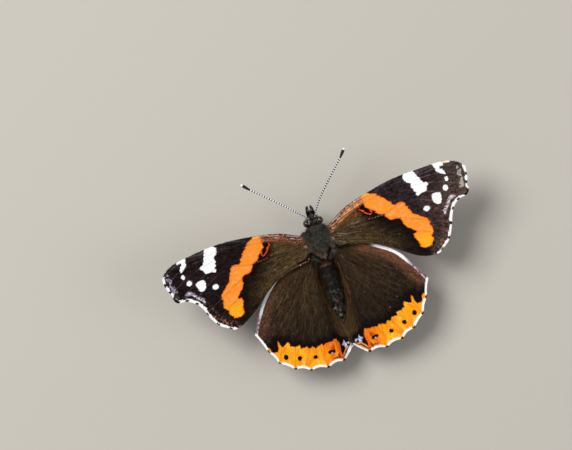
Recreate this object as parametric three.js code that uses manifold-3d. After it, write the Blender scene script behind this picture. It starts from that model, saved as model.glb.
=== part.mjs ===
import * as THREE from 'three';
import { mergeVertices } from 'three/addons/utils/BufferGeometryUtils.js';
import Module from 'manifold-3d';

// A red admiral butterfly at rest with its wings spread, life size, in millimetres.
// +Y is forward, +Z is up and +X is the butterfly's own right.
// Wing points are given for the right wing, x outwards from the middle line; the left is its mirror.

// Driving dimensions
const WING_THICKNESS = 0.5;
const BODY_SHIFT = 0.115;
const BODY_TURN = THREE.MathUtils.degToRad(-2.7);
const GAP = 0.06;

const THORAX = { front: 2.9, back: -3.9, halfWidth: 2.8, halfHeight: 2.75, z: 6.5 };
const HEAD = { y: 4.05, z: 6.9, halfWidth: 1.5, halfLength: 1.35, halfHeight: 1.5 };
const EYE = { x: 1.42, y: 4.15, z: 7.0, radius: 0.92 };
const COLLAR = { y: 2.75, z: 6.85, halfWidth: 1.75, halfLength: 1.35, halfHeight: 1.6 };
const ABDOMEN = { front: -3.75, back: -16.9, halfWidth: 1.85, halfHeight: 1.65 };
const PALP_RADII = [0.3, 0.42, 0.45, 0.38, 0.26];
const TONGUE = { y: 4.75, z: 4.55, coil: 0.4, radius: 0.24, squeeze: 0.9 };
const SHAFT_RADIUS = 0.25;
const CLUB_RADII = [0.26, 0.36, 0.4, 0.38, 0.24];

// A hinge is the height of a wing at its root; rise is the tangent of its slope outwards.
const FOREWING = { hingeX: 2.6, hingeZ: 8.3, rise: 0.19, droop: 0.0014, pitch: 0.06 };
const HINDWING = { hingeX: 2.5, hingeZ: 7.2, rise: 0.07, camber: 0.35, span: 26 };
const GUTTER = { outer: 2.95, depth: 1.1 };

const LEG = { femur: 0.36, knee: 0.27, tibia: 0.25, tarsus: 0.28 };
const FRONT_LEG = { femur: [0.3, 0.32, 0.27], tibia: [0.27, 0.3, 0.25] };
const SOLE = LEG.tarsus * Math.cos(Math.PI / 8);

const LEFT = -1;
const RIGHT = 1;
const sideName = (side) => (side === LEFT ? 'left' : 'right');

// Materials, with the colours of the living insect
const paint = (color, roughness) => new THREE.MeshStandardMaterial({ color, roughness, metalness: 0 });
const forewingScales = () => paint(0x1c1413, 0.7);
const hindwingScales = () => paint(0x3a2a1d, 0.75);
const bodyFur = () => paint(0x2b2823, 0.9);
const eyeShell = () => paint(0x5c2a1c, 0.25);
const feelerShaft = () => paint(0x4a4844, 0.6);
const feelerClub = () => paint(0x17161a, 0.5);
const legScales = () => paint(0x3d3327, 0.8);

const wasm = await Module();
wasm.setup();

// The closed solid of a geometry, for cutting
function toSolid(geometry) {
  const bare = geometry.clone();
  bare.deleteAttribute('normal');
  bare.deleteAttribute('uv');
  const merged = mergeVertices(bare, 1e-4);
  return new wasm.Manifold(
    new wasm.Mesh({
      numProp: 3,
      vertProperties: merged.attributes.position.array,
      triVerts: new Uint32Array(merged.index.array),
    }),
  );
}

function toGeometry(solid) {
  const mesh = solid.getMesh();
  const geometry = new THREE.BufferGeometry();
  geometry.setAttribute('position', new THREE.BufferAttribute(new Float32Array(mesh.vertProperties), 3));
  geometry.setIndex(new THREE.BufferAttribute(new Uint32Array(mesh.triVerts), 1));
  return geometry;
}

// What is left of a geometry after its neighbours have been taken away
function trim(geometry, ...neighbours) {
  let solid = toSolid(geometry);
  for (const neighbour of neighbours) {
    solid = solid.subtract(toSolid(neighbour));
  }
  const pieces = solid.decompose();
  pieces.sort((a, b) => b.volume() - a.volume());
  return toGeometry(pieces[0]);
}

function node(name, geometry, material, parent) {
  geometry.computeVertexNormals();
  const mesh = new THREE.Mesh(geometry, material);
  mesh.name = name;
  parent.add(mesh);
  return mesh;
}

const curve = (...points) =>
  new THREE.CatmullRomCurve3(points.map(([x, y, z = 0]) => new THREE.Vector3(x, y, z)), false, 'centripetal');

// A round limb along a curve: radii run from its first end to its last, and both ends are closed.
// flat squeezes its section from top to bottom.
function limb(path, radii, sides, flat = 1) {
  const last = radii.length - 1;
  const profile = radii.map((radius, i) => new THREE.Vector2(radius, i / last));
  profile.unshift(new THREE.Vector2(0, 0));
  profile.push(new THREE.Vector2(0, 1));
  const geometry = new THREE.LatheGeometry(profile, sides, Math.PI / sides);
  const position = geometry.attributes.position;
  const up = new THREE.Vector3(0, 0, 1);
  for (let i = 0; i < position.count; i++) {
    const t = position.getY(i);
    const along = path.getTangentAt(t);
    const across = new THREE.Vector3().crossVectors(along, up).normalize();
    const over = new THREE.Vector3().crossVectors(across, along);
    const point = path
      .getPointAt(t)
      .addScaledVector(across, position.getX(i))
      .addScaledVector(over, position.getZ(i) * flat);
    position.setXYZ(i, point.x, point.y, point.z);
  }
  return geometry;
}

// An egg shape with its poles on the Y axis, grown by an extra margin
function egg(x, y, z, halfWidth, halfLength, halfHeight, extra = 0) {
  const geometry = new THREE.SphereGeometry(1, 16, 10);
  geometry.scale(halfWidth + extra, halfLength + extra, halfHeight + extra);
  geometry.translate(x, y, z);
  return geometry;
}

// Body
const body = new THREE.Group();
body.position.x = BODY_SHIFT;
body.rotation.z = BODY_TURN;

const thoraxShape = (extra) =>
  egg(
    0,
    (THORAX.front + THORAX.back) / 2,
    THORAX.z,
    THORAX.halfWidth,
    (THORAX.front - THORAX.back) / 2,
    THORAX.halfHeight,
    extra,
  );
const headShape = (extra) =>
  egg(0, HEAD.y, HEAD.z, HEAD.halfWidth, HEAD.halfLength, HEAD.halfHeight, extra);
const eyeShape = (side, extra) =>
  egg(side * EYE.x, EYE.y, EYE.z, EYE.radius * 0.85, EYE.radius * 0.9, EYE.radius * 1.1, extra);

node('thorax', thoraxShape(0), bodyFur(), body);
node(
  'head',
  trim(headShape(0), thoraxShape(GAP), eyeShape(LEFT, GAP), eyeShape(RIGHT, GAP)),
  bodyFur(),
  body,
);
for (const side of [LEFT, RIGHT]) {
  node(`eye_${sideName(side)}`, eyeShape(side, 0), eyeShell(), body);
}

// The collar fills the neck between the head and the thorax.
const collar = egg(0, COLLAR.y, COLLAR.z, COLLAR.halfWidth, COLLAR.halfLength, COLLAR.halfHeight);
node(
  'prothorax',
  trim(collar, thoraxShape(GAP), headShape(GAP), eyeShape(LEFT, GAP), eyeShape(RIGHT, GAP)),
  bodyFur(),
  body,
);

// The abdomen hangs a little towards its tip.
const abdomenPath = curve([0, -3.5, 6.8], [0, -8, 7.0], [0, -13, 6.85], [0, ABDOMEN.back, 6.5]);
const abdomenShape = [0.55, 0.72, 0.88, 0.97, 1, 1, 0.98, 0.93, 0.86, 0.74, 0.56, 0.3];
const abdomen = limb(
  abdomenPath,
  abdomenShape.map((part) => part * ABDOMEN.halfWidth),
  14,
  ABDOMEN.halfHeight / ABDOMEN.halfWidth,
);
node('abdomen', trim(abdomen, thoraxShape(GAP)), bodyFur(), body);

// Palps stand out in front of the face like a short beak, with the rolled tongue between and below.
for (const side of [LEFT, RIGHT]) {
  const path = curve([side * 0.46, 4.6, 5.4], [side * 0.5, 6.0, 6.0], [side * 0.42, 7.5, 7.0]);
  const palp = limb(path, PALP_RADII, 8);
  node(`palp_${sideName(side)}`, trim(palp, headShape(GAP)), bodyFur(), body);
}
const tongue = new THREE.TorusGeometry(TONGUE.coil, TONGUE.radius, 8, 16);
tongue.rotateY(Math.PI / 2);
tongue.scale(TONGUE.squeeze, 1, 1);
tongue.translate(0, TONGUE.y, TONGUE.z);
node('proboscis', tongue, feelerClub(), body);

// Antennae: a thin shaft and a thicker club, rising forwards and outwards. The right one bends
// further in near the head than the left one.
const antennae = new THREE.Group();
const SHAFT_PATHS = {
  [LEFT]: [[-0.36, 5.2, 8.35], [-5.15, 10.15, 10.8], [-9.95, 14.82, 12.75]],
  [RIGHT]: [[1.0, 5.2, 8.35], [3.15, 8.15, 9.85], [6.35, 11.35, 11.35], [10.085, 14.82, 12.75]],
};
for (const side of [LEFT, RIGHT]) {
  const club = curve(
    [0.085 + side * 10.06, 14.88, 12.78],
    [0.08 + side * 10.8, 15.75, 13.1],
    [0.08 + side * 11.44, 16.5, 13.4],
  );
  const name = `antenna_${sideName(side)}`;
  const shaft = limb(curve(...SHAFT_PATHS[side]), Array(9).fill(SHAFT_RADIUS), 8);
  node(`${name}_shaft`, shaft, feelerShaft(), antennae);
  node(`${name}_club`, limb(club, CLUB_RADII, 8), feelerClub(), antennae);
}

// Wings: a sheet stretched between four edges, with u from root to outer edge
// and v from rear edge to leading edge. The two sides differ a little, as in life.
const wings = new THREE.Group();
function patch(edges) {
  const { costa, dorsum, root, termen } = edges;
  return (u, v) => {
    const corners = dorsum(0)
      .multiplyScalar((1 - u) * (1 - v))
      .addScaledVector(dorsum(1), u * (1 - v))
      .addScaledVector(costa(0), (1 - u) * v)
      .addScaledVector(costa(1), u * v);
    return dorsum(u)
      .multiplyScalar(1 - v)
      .addScaledVector(costa(u), v)
      .addScaledVector(root(v), 1 - u)
      .addScaledVector(termen(v), u)
      .sub(corners);
  };
}

// A box bent onto the sheet gives the closed blade of the wing.
function blade(sheet, height, side, stepsAlong, stepsAcross) {
  const geometry = new THREE.BoxGeometry(1, 1, 1, stepsAlong, stepsAcross, 1);
  const position = geometry.attributes.position;
  const surface = (x, y) => new THREE.Vector3(x, y, height(x, y, side));
  const step = 0.05;
  for (let i = 0; i < position.count; i++) {
    const flat = sheet(position.getX(i) + 0.5, position.getY(i) + 0.5);
    const point = surface(flat.x, flat.y);
    const outwards = surface(flat.x + step, flat.y).sub(surface(flat.x - step, flat.y));
    const forwards = surface(flat.x, flat.y + step).sub(surface(flat.x, flat.y - step));
    const normal = outwards.cross(forwards).normalize();
    point.addScaledVector(normal, position.getZ(i) * WING_THICKNESS);
    position.setXYZ(i, point.x, point.y, point.z);
  }
  if (side === LEFT) {
    geometry.scale(LEFT, 1, 1);
    const index = geometry.index;
    for (let i = 0; i < index.count; i += 3) {
      const second = index.getX(i + 1);
      index.setX(i + 1, index.getX(i + 2));
      index.setX(i + 2, second);
    }
  }
  return geometry;
}

// What the wings must stay clear of, where the body stands
body.updateMatrix();
const inPlace = (geometry) => geometry.clone().applyMatrix4(body.matrix);
const fatAbdomen = limb(
  abdomenPath,
  abdomenShape.map((part) => part * ABDOMEN.halfWidth + GAP),
  14,
  ABDOMEN.halfHeight / ABDOMEN.halfWidth,
);
const besideWings = [inPlace(thoraxShape(GAP)), inPlace(fatAbdomen)];

// How each wing sits: turned about the middle line and moved, x outwards
const POSE = {
  forewing: { turn: 0.46, x: 0.16, y: 0.22 },
  hindwing: { turn: -0.43, x: -0.19, y: 0 },
};
function posed(kind, side, points) {
  const { turn, x, y } = POSE[kind];
  const place = new THREE.Matrix4().makeRotationZ(THREE.MathUtils.degToRad(side * turn));
  place.setPosition(side * x, side * y, 0);
  return points.map(([px, py]) => new THREE.Vector3(px, py, 0).applyMatrix4(place));
}
const through = (points) => {
  const line = new THREE.CatmullRomCurve3(points, false, 'centripetal');
  return (t) => line.getPointAt(THREE.MathUtils.clamp(t, 0, 1));
};

// Forewing edges
const forewingHeight = (x, y) => {
  const reach = Math.max(x - FOREWING.hingeX, 0);
  return FOREWING.hingeZ + reach * FOREWING.rise - reach ** 2 * FOREWING.droop + (y - 1) * FOREWING.pitch;
};
const FOREWING_ROOT = [[2.45, -2.1], [2.65, 2.1]];
const FOREWING_TORNUS = [22.75, -11.15];
const FOREWING_FRONT = [FOREWING_ROOT[1], [4.7, 3.2], [7.3, 4.45], [12.6, 5.75], [18.2, 6.6], [23.1, 6.68]];
const FOREWING_REAR = [FOREWING_ROOT[0], [3.2, -2.9], [5.0, -3.15], [7.4, -3.5]];
const FOREWING_TIP = {
  [LEFT]: [[27.8, 6.3], [30.3, 5.9], [32.3, 4.9], [33.4, 3.7]],
  [RIGHT]: [[27.8, 6.6], [30.4, 6.25], [32.5, 5.2], [33.7, 3.9]],
};
const FOREWING_DORSUM = {
  [LEFT]: [[10.2, -4.2], [13.1, -5.75], [16.15, -8.0], [19.0, -9.8], [21.0, -10.75], FOREWING_TORNUS],
  [RIGHT]: [[10.2, -4.6], [13.4, -6.45], [16.0, -8.55], [18.6, -10.35], [20.6, -11.0], FOREWING_TORNUS],
};
const FOREWING_TERMEN = {
  [LEFT]: [
    FOREWING_TORNUS, [23.8, -10.4], [25.5, -9.2], [27.0, -6.5], [27.45, -4.95], [28.8, -3.05], [30.3, -2.1],
    [32.1, -1.8], [32.6, -1.1], [32.6, -0.2], [33.1, 1.1], [33.4, 2.5], [33.4, 3.7],
  ],
  [RIGHT]: [
    FOREWING_TORNUS, [23.8, -10.4], [25.5, -9.2], [27.0, -6.6], [27.8, -4.75], [28.95, -2.9], [30.5, -1.95],
    [32.1, -1.65], [32.85, -0.8], [32.8, 0.1], [33.3, 1.4], [33.6, 2.8], [33.7, 3.9],
  ],
};
for (const side of [LEFT, RIGHT]) {
  const edges = {
    costa: through(posed('forewing', side, [...FOREWING_FRONT, ...FOREWING_TIP[side]])),
    dorsum: through(posed('forewing', side, [...FOREWING_REAR, ...FOREWING_DORSUM[side]])),
    root: through(posed('forewing', side, FOREWING_ROOT)),
    termen: through(posed('forewing', side, FOREWING_TERMEN[side])),
  };
  node(
    `forewing_${sideName(side)}`,
    trim(blade(patch(edges), forewingHeight, side, 14, 18), ...besideWings),
    forewingScales(),
    wings,
  );
}

// Hindwing: its rear edge runs beside the abdomen and then meets the other hindwing behind it.
const bodyLine = (y) => BODY_SHIFT + Math.tan(-BODY_TURN) * y;
const abdomenHalf = (y) => {
  const t = THREE.MathUtils.clamp((ABDOMEN.front - y) / (ABDOMEN.front - ABDOMEN.back), 0, 1);
  const at = t * (abdomenShape.length - 1);
  const low = Math.min(Math.floor(at), abdomenShape.length - 2);
  return ABDOMEN.halfWidth * THREE.MathUtils.lerp(abdomenShape[low], abdomenShape[low + 1], at - low);
};
const rearEdge = (y) => (y < ABDOMEN.back - 0.4 ? 0.16 : abdomenHalf(y) + 0.06);
const hindwingHeight = (x, y, side) => {
  const reach = Math.max(x - HINDWING.hingeX, 0);
  const fromRoot = Math.min(Math.hypot(x - 2.5, y + 2), HINDWING.span);
  const arch = HINDWING.camber * Math.sin((Math.PI * fromRoot) / HINDWING.span);
  const inner = y > ABDOMEN.front ? ABDOMEN.halfWidth : Math.max(rearEdge(Math.max(y, -17.5)), 1.2);
  const fold = (GUTTER.outer - (x - side * bodyLine(y))) / (GUTTER.outer - inner);
  const rearward = THREE.MathUtils.smoothstep(-y, 2.2, 5);
  const sink = GUTTER.depth * THREE.MathUtils.clamp(fold, 0, 1.15) * rearward;
  return HINDWING.hingeZ + reach * HINDWING.rise + arch - sink;
};
const HINDWING_FRONT = [[2.7, -0.9], [5.5, -1.7], [9.0, -3.1]];
const HINDWING_COSTA = {
  [LEFT]: [[12.0, -5.1], [14.45, -7.45], [16.65, -10.3], [18.74, -14.3]],
  [RIGHT]: [[12.0, -4.85], [14.7, -7.0], [16.9, -10.2], [19.2, -14.9]],
};
const HINDWING_TICKS = [
  [0.2, -22.95], [2.78, -25.45], [6.45, -25.7], [10.11, -25.08], [13.15, -23.75], [15.9, -21.5],
];
const HINDWING_LAST_TICK = { [LEFT]: [17.25, -18.5], [RIGHT]: [17.65, -18.45] };
// How far the edge between two vein ends curves in
const SCALLOPS = [-0.05, 0.4, 0.3, 0.25, 0.05, 0.1, 0.05];
const SCALLOP_STEPS = 4;
function scalloped(ticks) {
  return (t) => {
    const at = THREE.MathUtils.clamp(t, 0, 1) * (ticks.length - 1);
    const low = Math.min(Math.floor(at), ticks.length - 2);
    const chord = ticks[low + 1].clone().sub(ticks[low]);
    const inwards = new THREE.Vector3(-chord.y, chord.x, 0).normalize();
    return ticks[low]
      .clone()
      .addScaledVector(chord, at - low)
      .addScaledVector(inwards, SCALLOPS[low] * Math.sin(Math.PI * (at - low)));
  };
}
for (const side of [LEFT, RIGHT]) {
  const costa = posed('hindwing', side, [...HINDWING_FRONT, ...HINDWING_COSTA[side]]);
  const corner = HINDWING_COSTA[side].at(-1);
  const ticks = posed('hindwing', side, [...HINDWING_TICKS, HINDWING_LAST_TICK[side], corner]);
  const besideBody = [-4.2, -6, -9, -12, -15, -16.6, -17.6, -21.6].map(
    (y) => new THREE.Vector3(side * bodyLine(y) + rearEdge(y), y, 0),
  );
  const rear = [new THREE.Vector3(2.62, -2.7, 0), ...besideBody, ticks[0]];
  const edges = {
    costa: through(costa),
    dorsum: through(rear),
    root: through([rear[0], costa[0]]),
    termen: scalloped(ticks),
  };
  node(
    `hindwing_${sideName(side)}`,
    trim(blade(patch(edges), hindwingHeight, side, 9, SCALLOPS.length * SCALLOP_STEPS), ...besideWings),
    hindwingScales(),
    wings,
  );
}

// Walking legs stand on the flat soles of their feet; the front pair is small and folded under the head.
const LEGS = {
  mid: { hip: [1.2, 0.5, 4.35], knee: [4.8, 1.8, 5.4], ankle: [7.8, 2.8, 1.1], tip: [11.5, 4.0] },
  hind: { hip: [1.2, -2.0, 4.45], knee: [4.6, -4.6, 5.4], ankle: [6.8, -8.4, 1.1], tip: [8.6, -12.5] },
};
const between = (a, b, t) => a.map((value, i) => value + (b[i] - value) * t);
for (const [pair, joint] of Object.entries(LEGS)) {
  for (const side of [LEFT, RIGHT]) {
    const flip = ([x, y, z]) => [side * x, y, z];
    const name = `leg_${pair}_${sideName(side)}`;
    const heel = [...between(joint.ankle, joint.tip, 0.28).slice(0, 2), SOLE];
    const toe = [...joint.tip, SOLE];
    const femur = curve(flip(joint.hip), flip(between(joint.hip, joint.knee, 0.94)));
    const tibia = curve(flip(between(joint.knee, joint.ankle, 0.06)), flip(joint.ankle));
    node(
      `${name}_femur`,
      trim(limb(femur, [LEG.femur * 0.8, LEG.femur, LEG.femur * 0.9, LEG.knee], 8), thoraxShape(GAP)),
      legScales(),
      body,
    );
    node(`${name}_tibia`, limb(tibia, [LEG.tibia, LEG.knee, LEG.tibia], 8), legScales(), body);
    const foot = new THREE.CurvePath();
    const drop = between(joint.ankle, heel, 0.12);
    foot.add(new THREE.LineCurve3(new THREE.Vector3(...flip(drop)), new THREE.Vector3(...flip(heel))));
    foot.add(new THREE.LineCurve3(new THREE.Vector3(...flip(heel)), new THREE.Vector3(...flip(toe))));
    node(`${name}_tarsus`, limb(foot, Array(7).fill(LEG.tarsus), 8), legScales(), body);
  }
}
for (const side of [LEFT, RIGHT]) {
  const name = `leg_fore_${sideName(side)}`;
  const femur = curve([side * 0.95, 1.9, 4.35], [side * 1.5, 3.3, 3.9]);
  const tibia = curve([side * 1.55, 3.5, 4.15], [side * 1.15, 4.9, 5.1]);
  node(`${name}_femur`, trim(limb(femur, FRONT_LEG.femur, 8), thoraxShape(GAP)), legScales(), body);
  node(`${name}_tibia`, trim(limb(tibia, FRONT_LEG.tibia, 8), headShape(GAP)), legScales(), body);
}

// The finished model stands on Z = 0, centred over the origin.
const butterfly = new THREE.Group();
butterfly.add(body, antennae, wings);
butterfly.updateMatrixWorld(true);
const box = new THREE.Box3().setFromObject(butterfly, true);
const middle = box.getCenter(new THREE.Vector3());
butterfly.position.set(-middle.x, -middle.y, -box.min.z);

export default butterfly;
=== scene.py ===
import math

import bpy
import numpy as np
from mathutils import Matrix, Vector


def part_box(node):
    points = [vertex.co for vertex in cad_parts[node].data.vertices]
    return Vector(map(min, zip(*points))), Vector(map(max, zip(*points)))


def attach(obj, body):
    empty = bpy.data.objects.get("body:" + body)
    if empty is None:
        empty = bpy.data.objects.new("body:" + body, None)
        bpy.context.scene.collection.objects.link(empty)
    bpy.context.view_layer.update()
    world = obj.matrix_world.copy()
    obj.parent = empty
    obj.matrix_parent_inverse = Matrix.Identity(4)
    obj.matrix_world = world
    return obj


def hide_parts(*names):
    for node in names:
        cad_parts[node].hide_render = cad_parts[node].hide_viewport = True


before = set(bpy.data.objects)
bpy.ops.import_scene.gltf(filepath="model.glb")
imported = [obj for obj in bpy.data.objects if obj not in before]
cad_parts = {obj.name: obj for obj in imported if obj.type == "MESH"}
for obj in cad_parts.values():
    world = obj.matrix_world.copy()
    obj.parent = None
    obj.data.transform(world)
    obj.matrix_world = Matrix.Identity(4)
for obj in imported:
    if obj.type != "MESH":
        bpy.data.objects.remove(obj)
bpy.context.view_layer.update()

# The model is a red admiral butterfly at rest on the floor with its wings spread. Places are worked
# out in millimetres in the wings' frame: x to the butterfly's right, y forwards, z up from the floor.
MM = 0.001
LEFT, RIGHT = -1, 1
SIDES = {LEFT: "left", RIGHT: "right"}

# Head, thorax and abdomen lie on one line that is turned a little against the wings. The middle of
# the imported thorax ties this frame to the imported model.
BODY_TURN = math.radians(-2.7)
BODY_SHIFT = 0.115
THORAX_MIDDLE = np.array([0.0, -0.5, 6.5])


def turned(points):
    """Body points along the body's own line, as points of the wings' frame."""
    x, y, z = np.moveaxis(np.asarray(points, float), -1, 0)
    c, s = math.cos(BODY_TURN), math.sin(BODY_TURN)
    return np.stack([x * c - y * s + BODY_SHIFT, x * s + y * c, z], -1)


low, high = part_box("thorax")
ORIGIN = (np.array(low) + np.array(high)) / 2 / MM - turned(THORAX_MIDDLE)


def to_world(points):
    """Points of the wings' frame in millimetres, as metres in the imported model's frame."""
    return (np.asarray(points, float) + ORIGIN) * MM


# The camera looks straight down on the back, from about arm's length through a long lens. Its roll
# puts the head at the upper left, as the butterfly sat.
VIEW_WIDTH = 119.2
VIEW_CENTRE = (-5.25, 5.42, 9.0)
VIEW_ROLL = math.radians(19.7)
CAMERA_HEIGHT = 900.0
SENSOR = 36.0

camera_data = bpy.data.cameras.new("camera")
camera_data.sensor_width = SENSOR
camera_data.lens = SENSOR * CAMERA_HEIGHT / VIEW_WIDTH
camera_data.clip_start = 0.01
camera = bpy.data.objects.new("camera", camera_data)
camera.location = to_world(np.array(VIEW_CENTRE) + (0, 0, CAMERA_HEIGHT))
camera.rotation_euler = (0, 0, -VIEW_ROLL)
bpy.context.collection.objects.link(camera)
bpy.context.scene.camera = camera
bpy.context.scene.view_settings.view_transform = "Standard"


# Floor and light: a pale matt sheet, a large soft lamp high on the left of the picture, a weaker
# one opposite and an even surround.
FLOOR_SIZE = 3.0
FLOOR_COLOUR = "#bdb8ae"
FLOOR_FIBRE = 2.5
SURROUND_COLOUR = "#f2f4f7"
SURROUND_STRENGTH = 0.35


def srgb(code):
    """A hex colour as linear red, green and blue."""
    parts = np.array([int(code[i : i + 2], 16) for i in (1, 3, 5)]) / 255
    return np.where(parts <= 0.04045, parts / 12.92, ((parts + 0.055) / 1.055) ** 2.4)


def add_node(tree, kind, inputs=None, **settings):
    """Adds a shader node with its settings, and gives or links its inputs."""
    node = tree.nodes.new(kind)
    for name, value in settings.items():
        setattr(node, name, value)
    for name, value in (inputs or {}).items():
        if isinstance(value, bpy.types.NodeSocket):
            tree.links.new(value, node.inputs[name])
        else:
            node.inputs[name].default_value = value
    return node


def new_material(name, roughness, specular):
    """An empty material and its main shader."""
    material = bpy.data.materials.new(name)
    material.use_nodes = True
    shader = material.node_tree.nodes["Principled BSDF"]
    shader.inputs["Roughness"].default_value = roughness
    shader.inputs["Specular IOR Level"].default_value = specular
    return material, material.node_tree, shader


def add_grain(tree, shader, size, depth, strength, detail):
    """Raises fine bumps on a finish, with their size and depth in millimetres."""
    where = add_node(tree, "ShaderNodeTexCoord")
    place = {"Vector": where.outputs["Object"], "Scale": 1 / (size * MM), "Detail": detail}
    noise = add_node(tree, "ShaderNodeTexNoise", place)
    relief = {"Height": noise.outputs["Fac"], "Strength": strength, "Distance": depth * MM}
    bump = add_node(tree, "ShaderNodeBump", relief)
    tree.links.new(bump.outputs["Normal"], shader.inputs["Normal"])


bpy.ops.object.select_all(action="DESELECT")
bpy.ops.mesh.primitive_plane_add(size=FLOOR_SIZE, location=(0, 0, 0))
floor = bpy.context.object
floor.name = "floor"
paper, tree, shader = new_material("matt_paper", 0.9, 0.2)
# The clumps of fibre in the paper are a few millimetres across and hardly raised.
add_grain(tree, shader, FLOOR_FIBRE, 0.2, 0.05, 4.0)
shader.inputs["Base Color"].default_value = (*srgb(FLOOR_COLOUR), 1)
floor.data.materials.append(paper)


def add_softbox(name, place, width, power):
    """A square area lamp, in metres and watts, that faces the butterfly."""
    data = bpy.data.lights.new(name, "AREA")
    data.size = width
    data.energy = power
    lamp = bpy.data.objects.new(name, data)
    lamp.location = place
    lamp.rotation_euler = (-lamp.location).to_track_quat("-Z", "Y").to_euler()
    bpy.context.collection.objects.link(lamp)


add_softbox("key_softbox", (-0.35, 0.45, 0.8), 0.5, 9.0)
add_softbox("fill_softbox", (0.7, -0.3, 0.6), 0.6, 2.0)
surround = bpy.data.worlds.new("surround")
surround.use_nodes = True
background = surround.node_tree.nodes["Background"]
background.inputs["Color"].default_value = (*srgb(SURROUND_COLOUR), 1)
background.inputs["Strength"].default_value = SURROUND_STRENGTH
bpy.context.scene.world = surround


# Wing sheets: each wing is a stiff membrane on branching veins, stretched between a leading edge,
# an outer edge with fringe and a rear edge. Points are for the right wing, x outwards; the left is
# its mirror. Each wing is turned about the middle line and moved a little, as the butterfly held it.
def unit(vectors):
    """Vectors brought to length 1."""
    return vectors / np.maximum(np.linalg.norm(vectors, axis=-1, keepdims=True), 1e-9)


def smooth_line(points, steps=10):
    """Points along a centripetal Catmull-Rom curve through the given ones."""
    p = np.asarray(points, float)
    p = np.vstack([2 * p[0] - p[1], p, 2 * p[-1] - p[-2]])
    made = []
    for p0, p1, p2, p3 in zip(p, p[1:], p[2:], p[3:]):
        t1 = np.linalg.norm(p1 - p0) ** 0.5
        t2 = t1 + np.linalg.norm(p2 - p1) ** 0.5
        t3 = t2 + np.linalg.norm(p3 - p2) ** 0.5
        t = np.linspace(t1, t2, steps, endpoint=False)[:, None]
        a1 = p0 + (p1 - p0) * t / t1
        a2 = p1 + (p2 - p1) * (t - t1) / (t2 - t1)
        a3 = p2 + (p3 - p2) * (t - t2) / (t3 - t2)
        b1 = a1 + (a2 - a1) * t / t2
        b2 = a2 + (a3 - a2) * (t - t1) / (t3 - t1)
        made.append(b1 + (b2 - b1) * (t - t1) / (t2 - t1))
    return np.vstack([*made, p[-2:-1]])


def run_along(line):
    """A line as a function of how far along it a point lies, from 0 to 1."""
    reach = np.r_[0, np.cumsum(np.linalg.norm(np.diff(line, axis=0), axis=1))]
    reach = reach / reach[-1]
    return lambda t: np.stack([np.interp(t, reach, line[:, k]) for k in range(line.shape[1])], -1)


def distance_to(lines, x, y):
    """How far points lie from the nearest of some lines."""
    nearest = np.full(np.shape(x), np.inf)
    for line in lines:
        for (ax, ay), (bx, by) in zip(line, line[1:]):
            dx, dy = bx - ax, by - ay
            t = np.clip(((x - ax) * dx + (y - ay) * dy) / (dx * dx + dy * dy + 1e-12), 0, 1)
            nearest = np.minimum(nearest, (x - ax - t * dx) ** 2 + (y - ay - t * dy) ** 2)
    return np.sqrt(nearest)


def depth_inside(loop, x, y):
    """How far points lie inside a closed loop, below zero outside it."""
    loop = np.vstack([loop, loop[:1]])
    inside = np.zeros(np.shape(x), bool)
    for (ax, ay), (bx, by) in zip(loop, loop[1:]):
        if ay != by:
            inside ^= ((ay > y) != (by > y)) & (x < (bx - ax) * (y - ay) / (by - ay) + ax)
    return np.where(inside, 1, -1) * distance_to([loop], x, y)


def body_line(y):
    """Where the body's line lies across the wings' middle, at y."""
    return BODY_SHIFT + math.tan(-BODY_TURN) * y


ABDOMEN_FRONT, ABDOMEN_BACK = -3.75, -16.9
ABDOMEN_HALF_WIDTH = 1.85
ABDOMEN_SHAPE = [0.55, 0.72, 0.88, 0.97, 1, 1, 0.98, 0.93, 0.86, 0.74, 0.56, 0.3]
BODY_GAP = 0.06


def abdomen_half(y):
    """Half the width of the abdomen at y."""
    t = np.clip((ABDOMEN_FRONT - y) / (ABDOMEN_FRONT - ABDOMEN_BACK), 0, 1)
    stations = range(len(ABDOMEN_SHAPE))
    return ABDOMEN_HALF_WIDTH * np.interp(t * (len(stations) - 1), stations, ABDOMEN_SHAPE)


def rear_edge(y):
    """How far the hindwing's rear edge lies from the body's line at y."""
    return np.where(y < ABDOMEN_BACK - 0.4, BODY_GAP, abdomen_half(y) + BODY_GAP)


FORE_HINGE_X, FORE_HINGE_Z = 2.6, 8.3
FORE_RISE, FORE_DROOP, FORE_PITCH = 0.19, 0.0014, 0.06
HIND_HINGE_X, HIND_HINGE_Z = 2.5, 7.2
HIND_RISE, HIND_ARCH, HIND_SPAN = 0.07, 0.35, 26
GUTTER_START, GUTTER_DEPTH = 2.95, 1.1


def forewing_height(x, y, side):
    """The forewing rises outwards, droops a little at its tip and pitches up at its leading edge."""
    reach = np.maximum(x - FORE_HINGE_X, 0)
    return FORE_HINGE_Z + FORE_RISE * reach - FORE_DROOP * reach**2 + FORE_PITCH * (y - 1)


def hindwing_height(x, y, side):
    """The hindwing is gently arched, and folds down in a gutter beside and behind the abdomen."""
    reach = np.minimum(np.hypot(x - HIND_HINGE_X, y + 2), HIND_SPAN)
    arch = HIND_ARCH * np.sin(math.pi * reach / HIND_SPAN)
    beside = np.maximum(rear_edge(np.maximum(y, -17.5)), 1.2)
    inner = np.where(y > ABDOMEN_FRONT, ABDOMEN_HALF_WIDTH, beside)
    fold = np.clip((GUTTER_START - (x - side * body_line(y))) / (GUTTER_START - inner), 0, 1.15)
    rearward = np.clip((-y - 2.2) / 2.8, 0, 1)
    rearward = rearward**2 * (3 - 2 * rearward)
    rise = HIND_RISE * np.maximum(x - HIND_HINGE_X, 0)
    return HIND_HINGE_Z + rise + arch - GUTTER_DEPTH * fold * rearward


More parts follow.
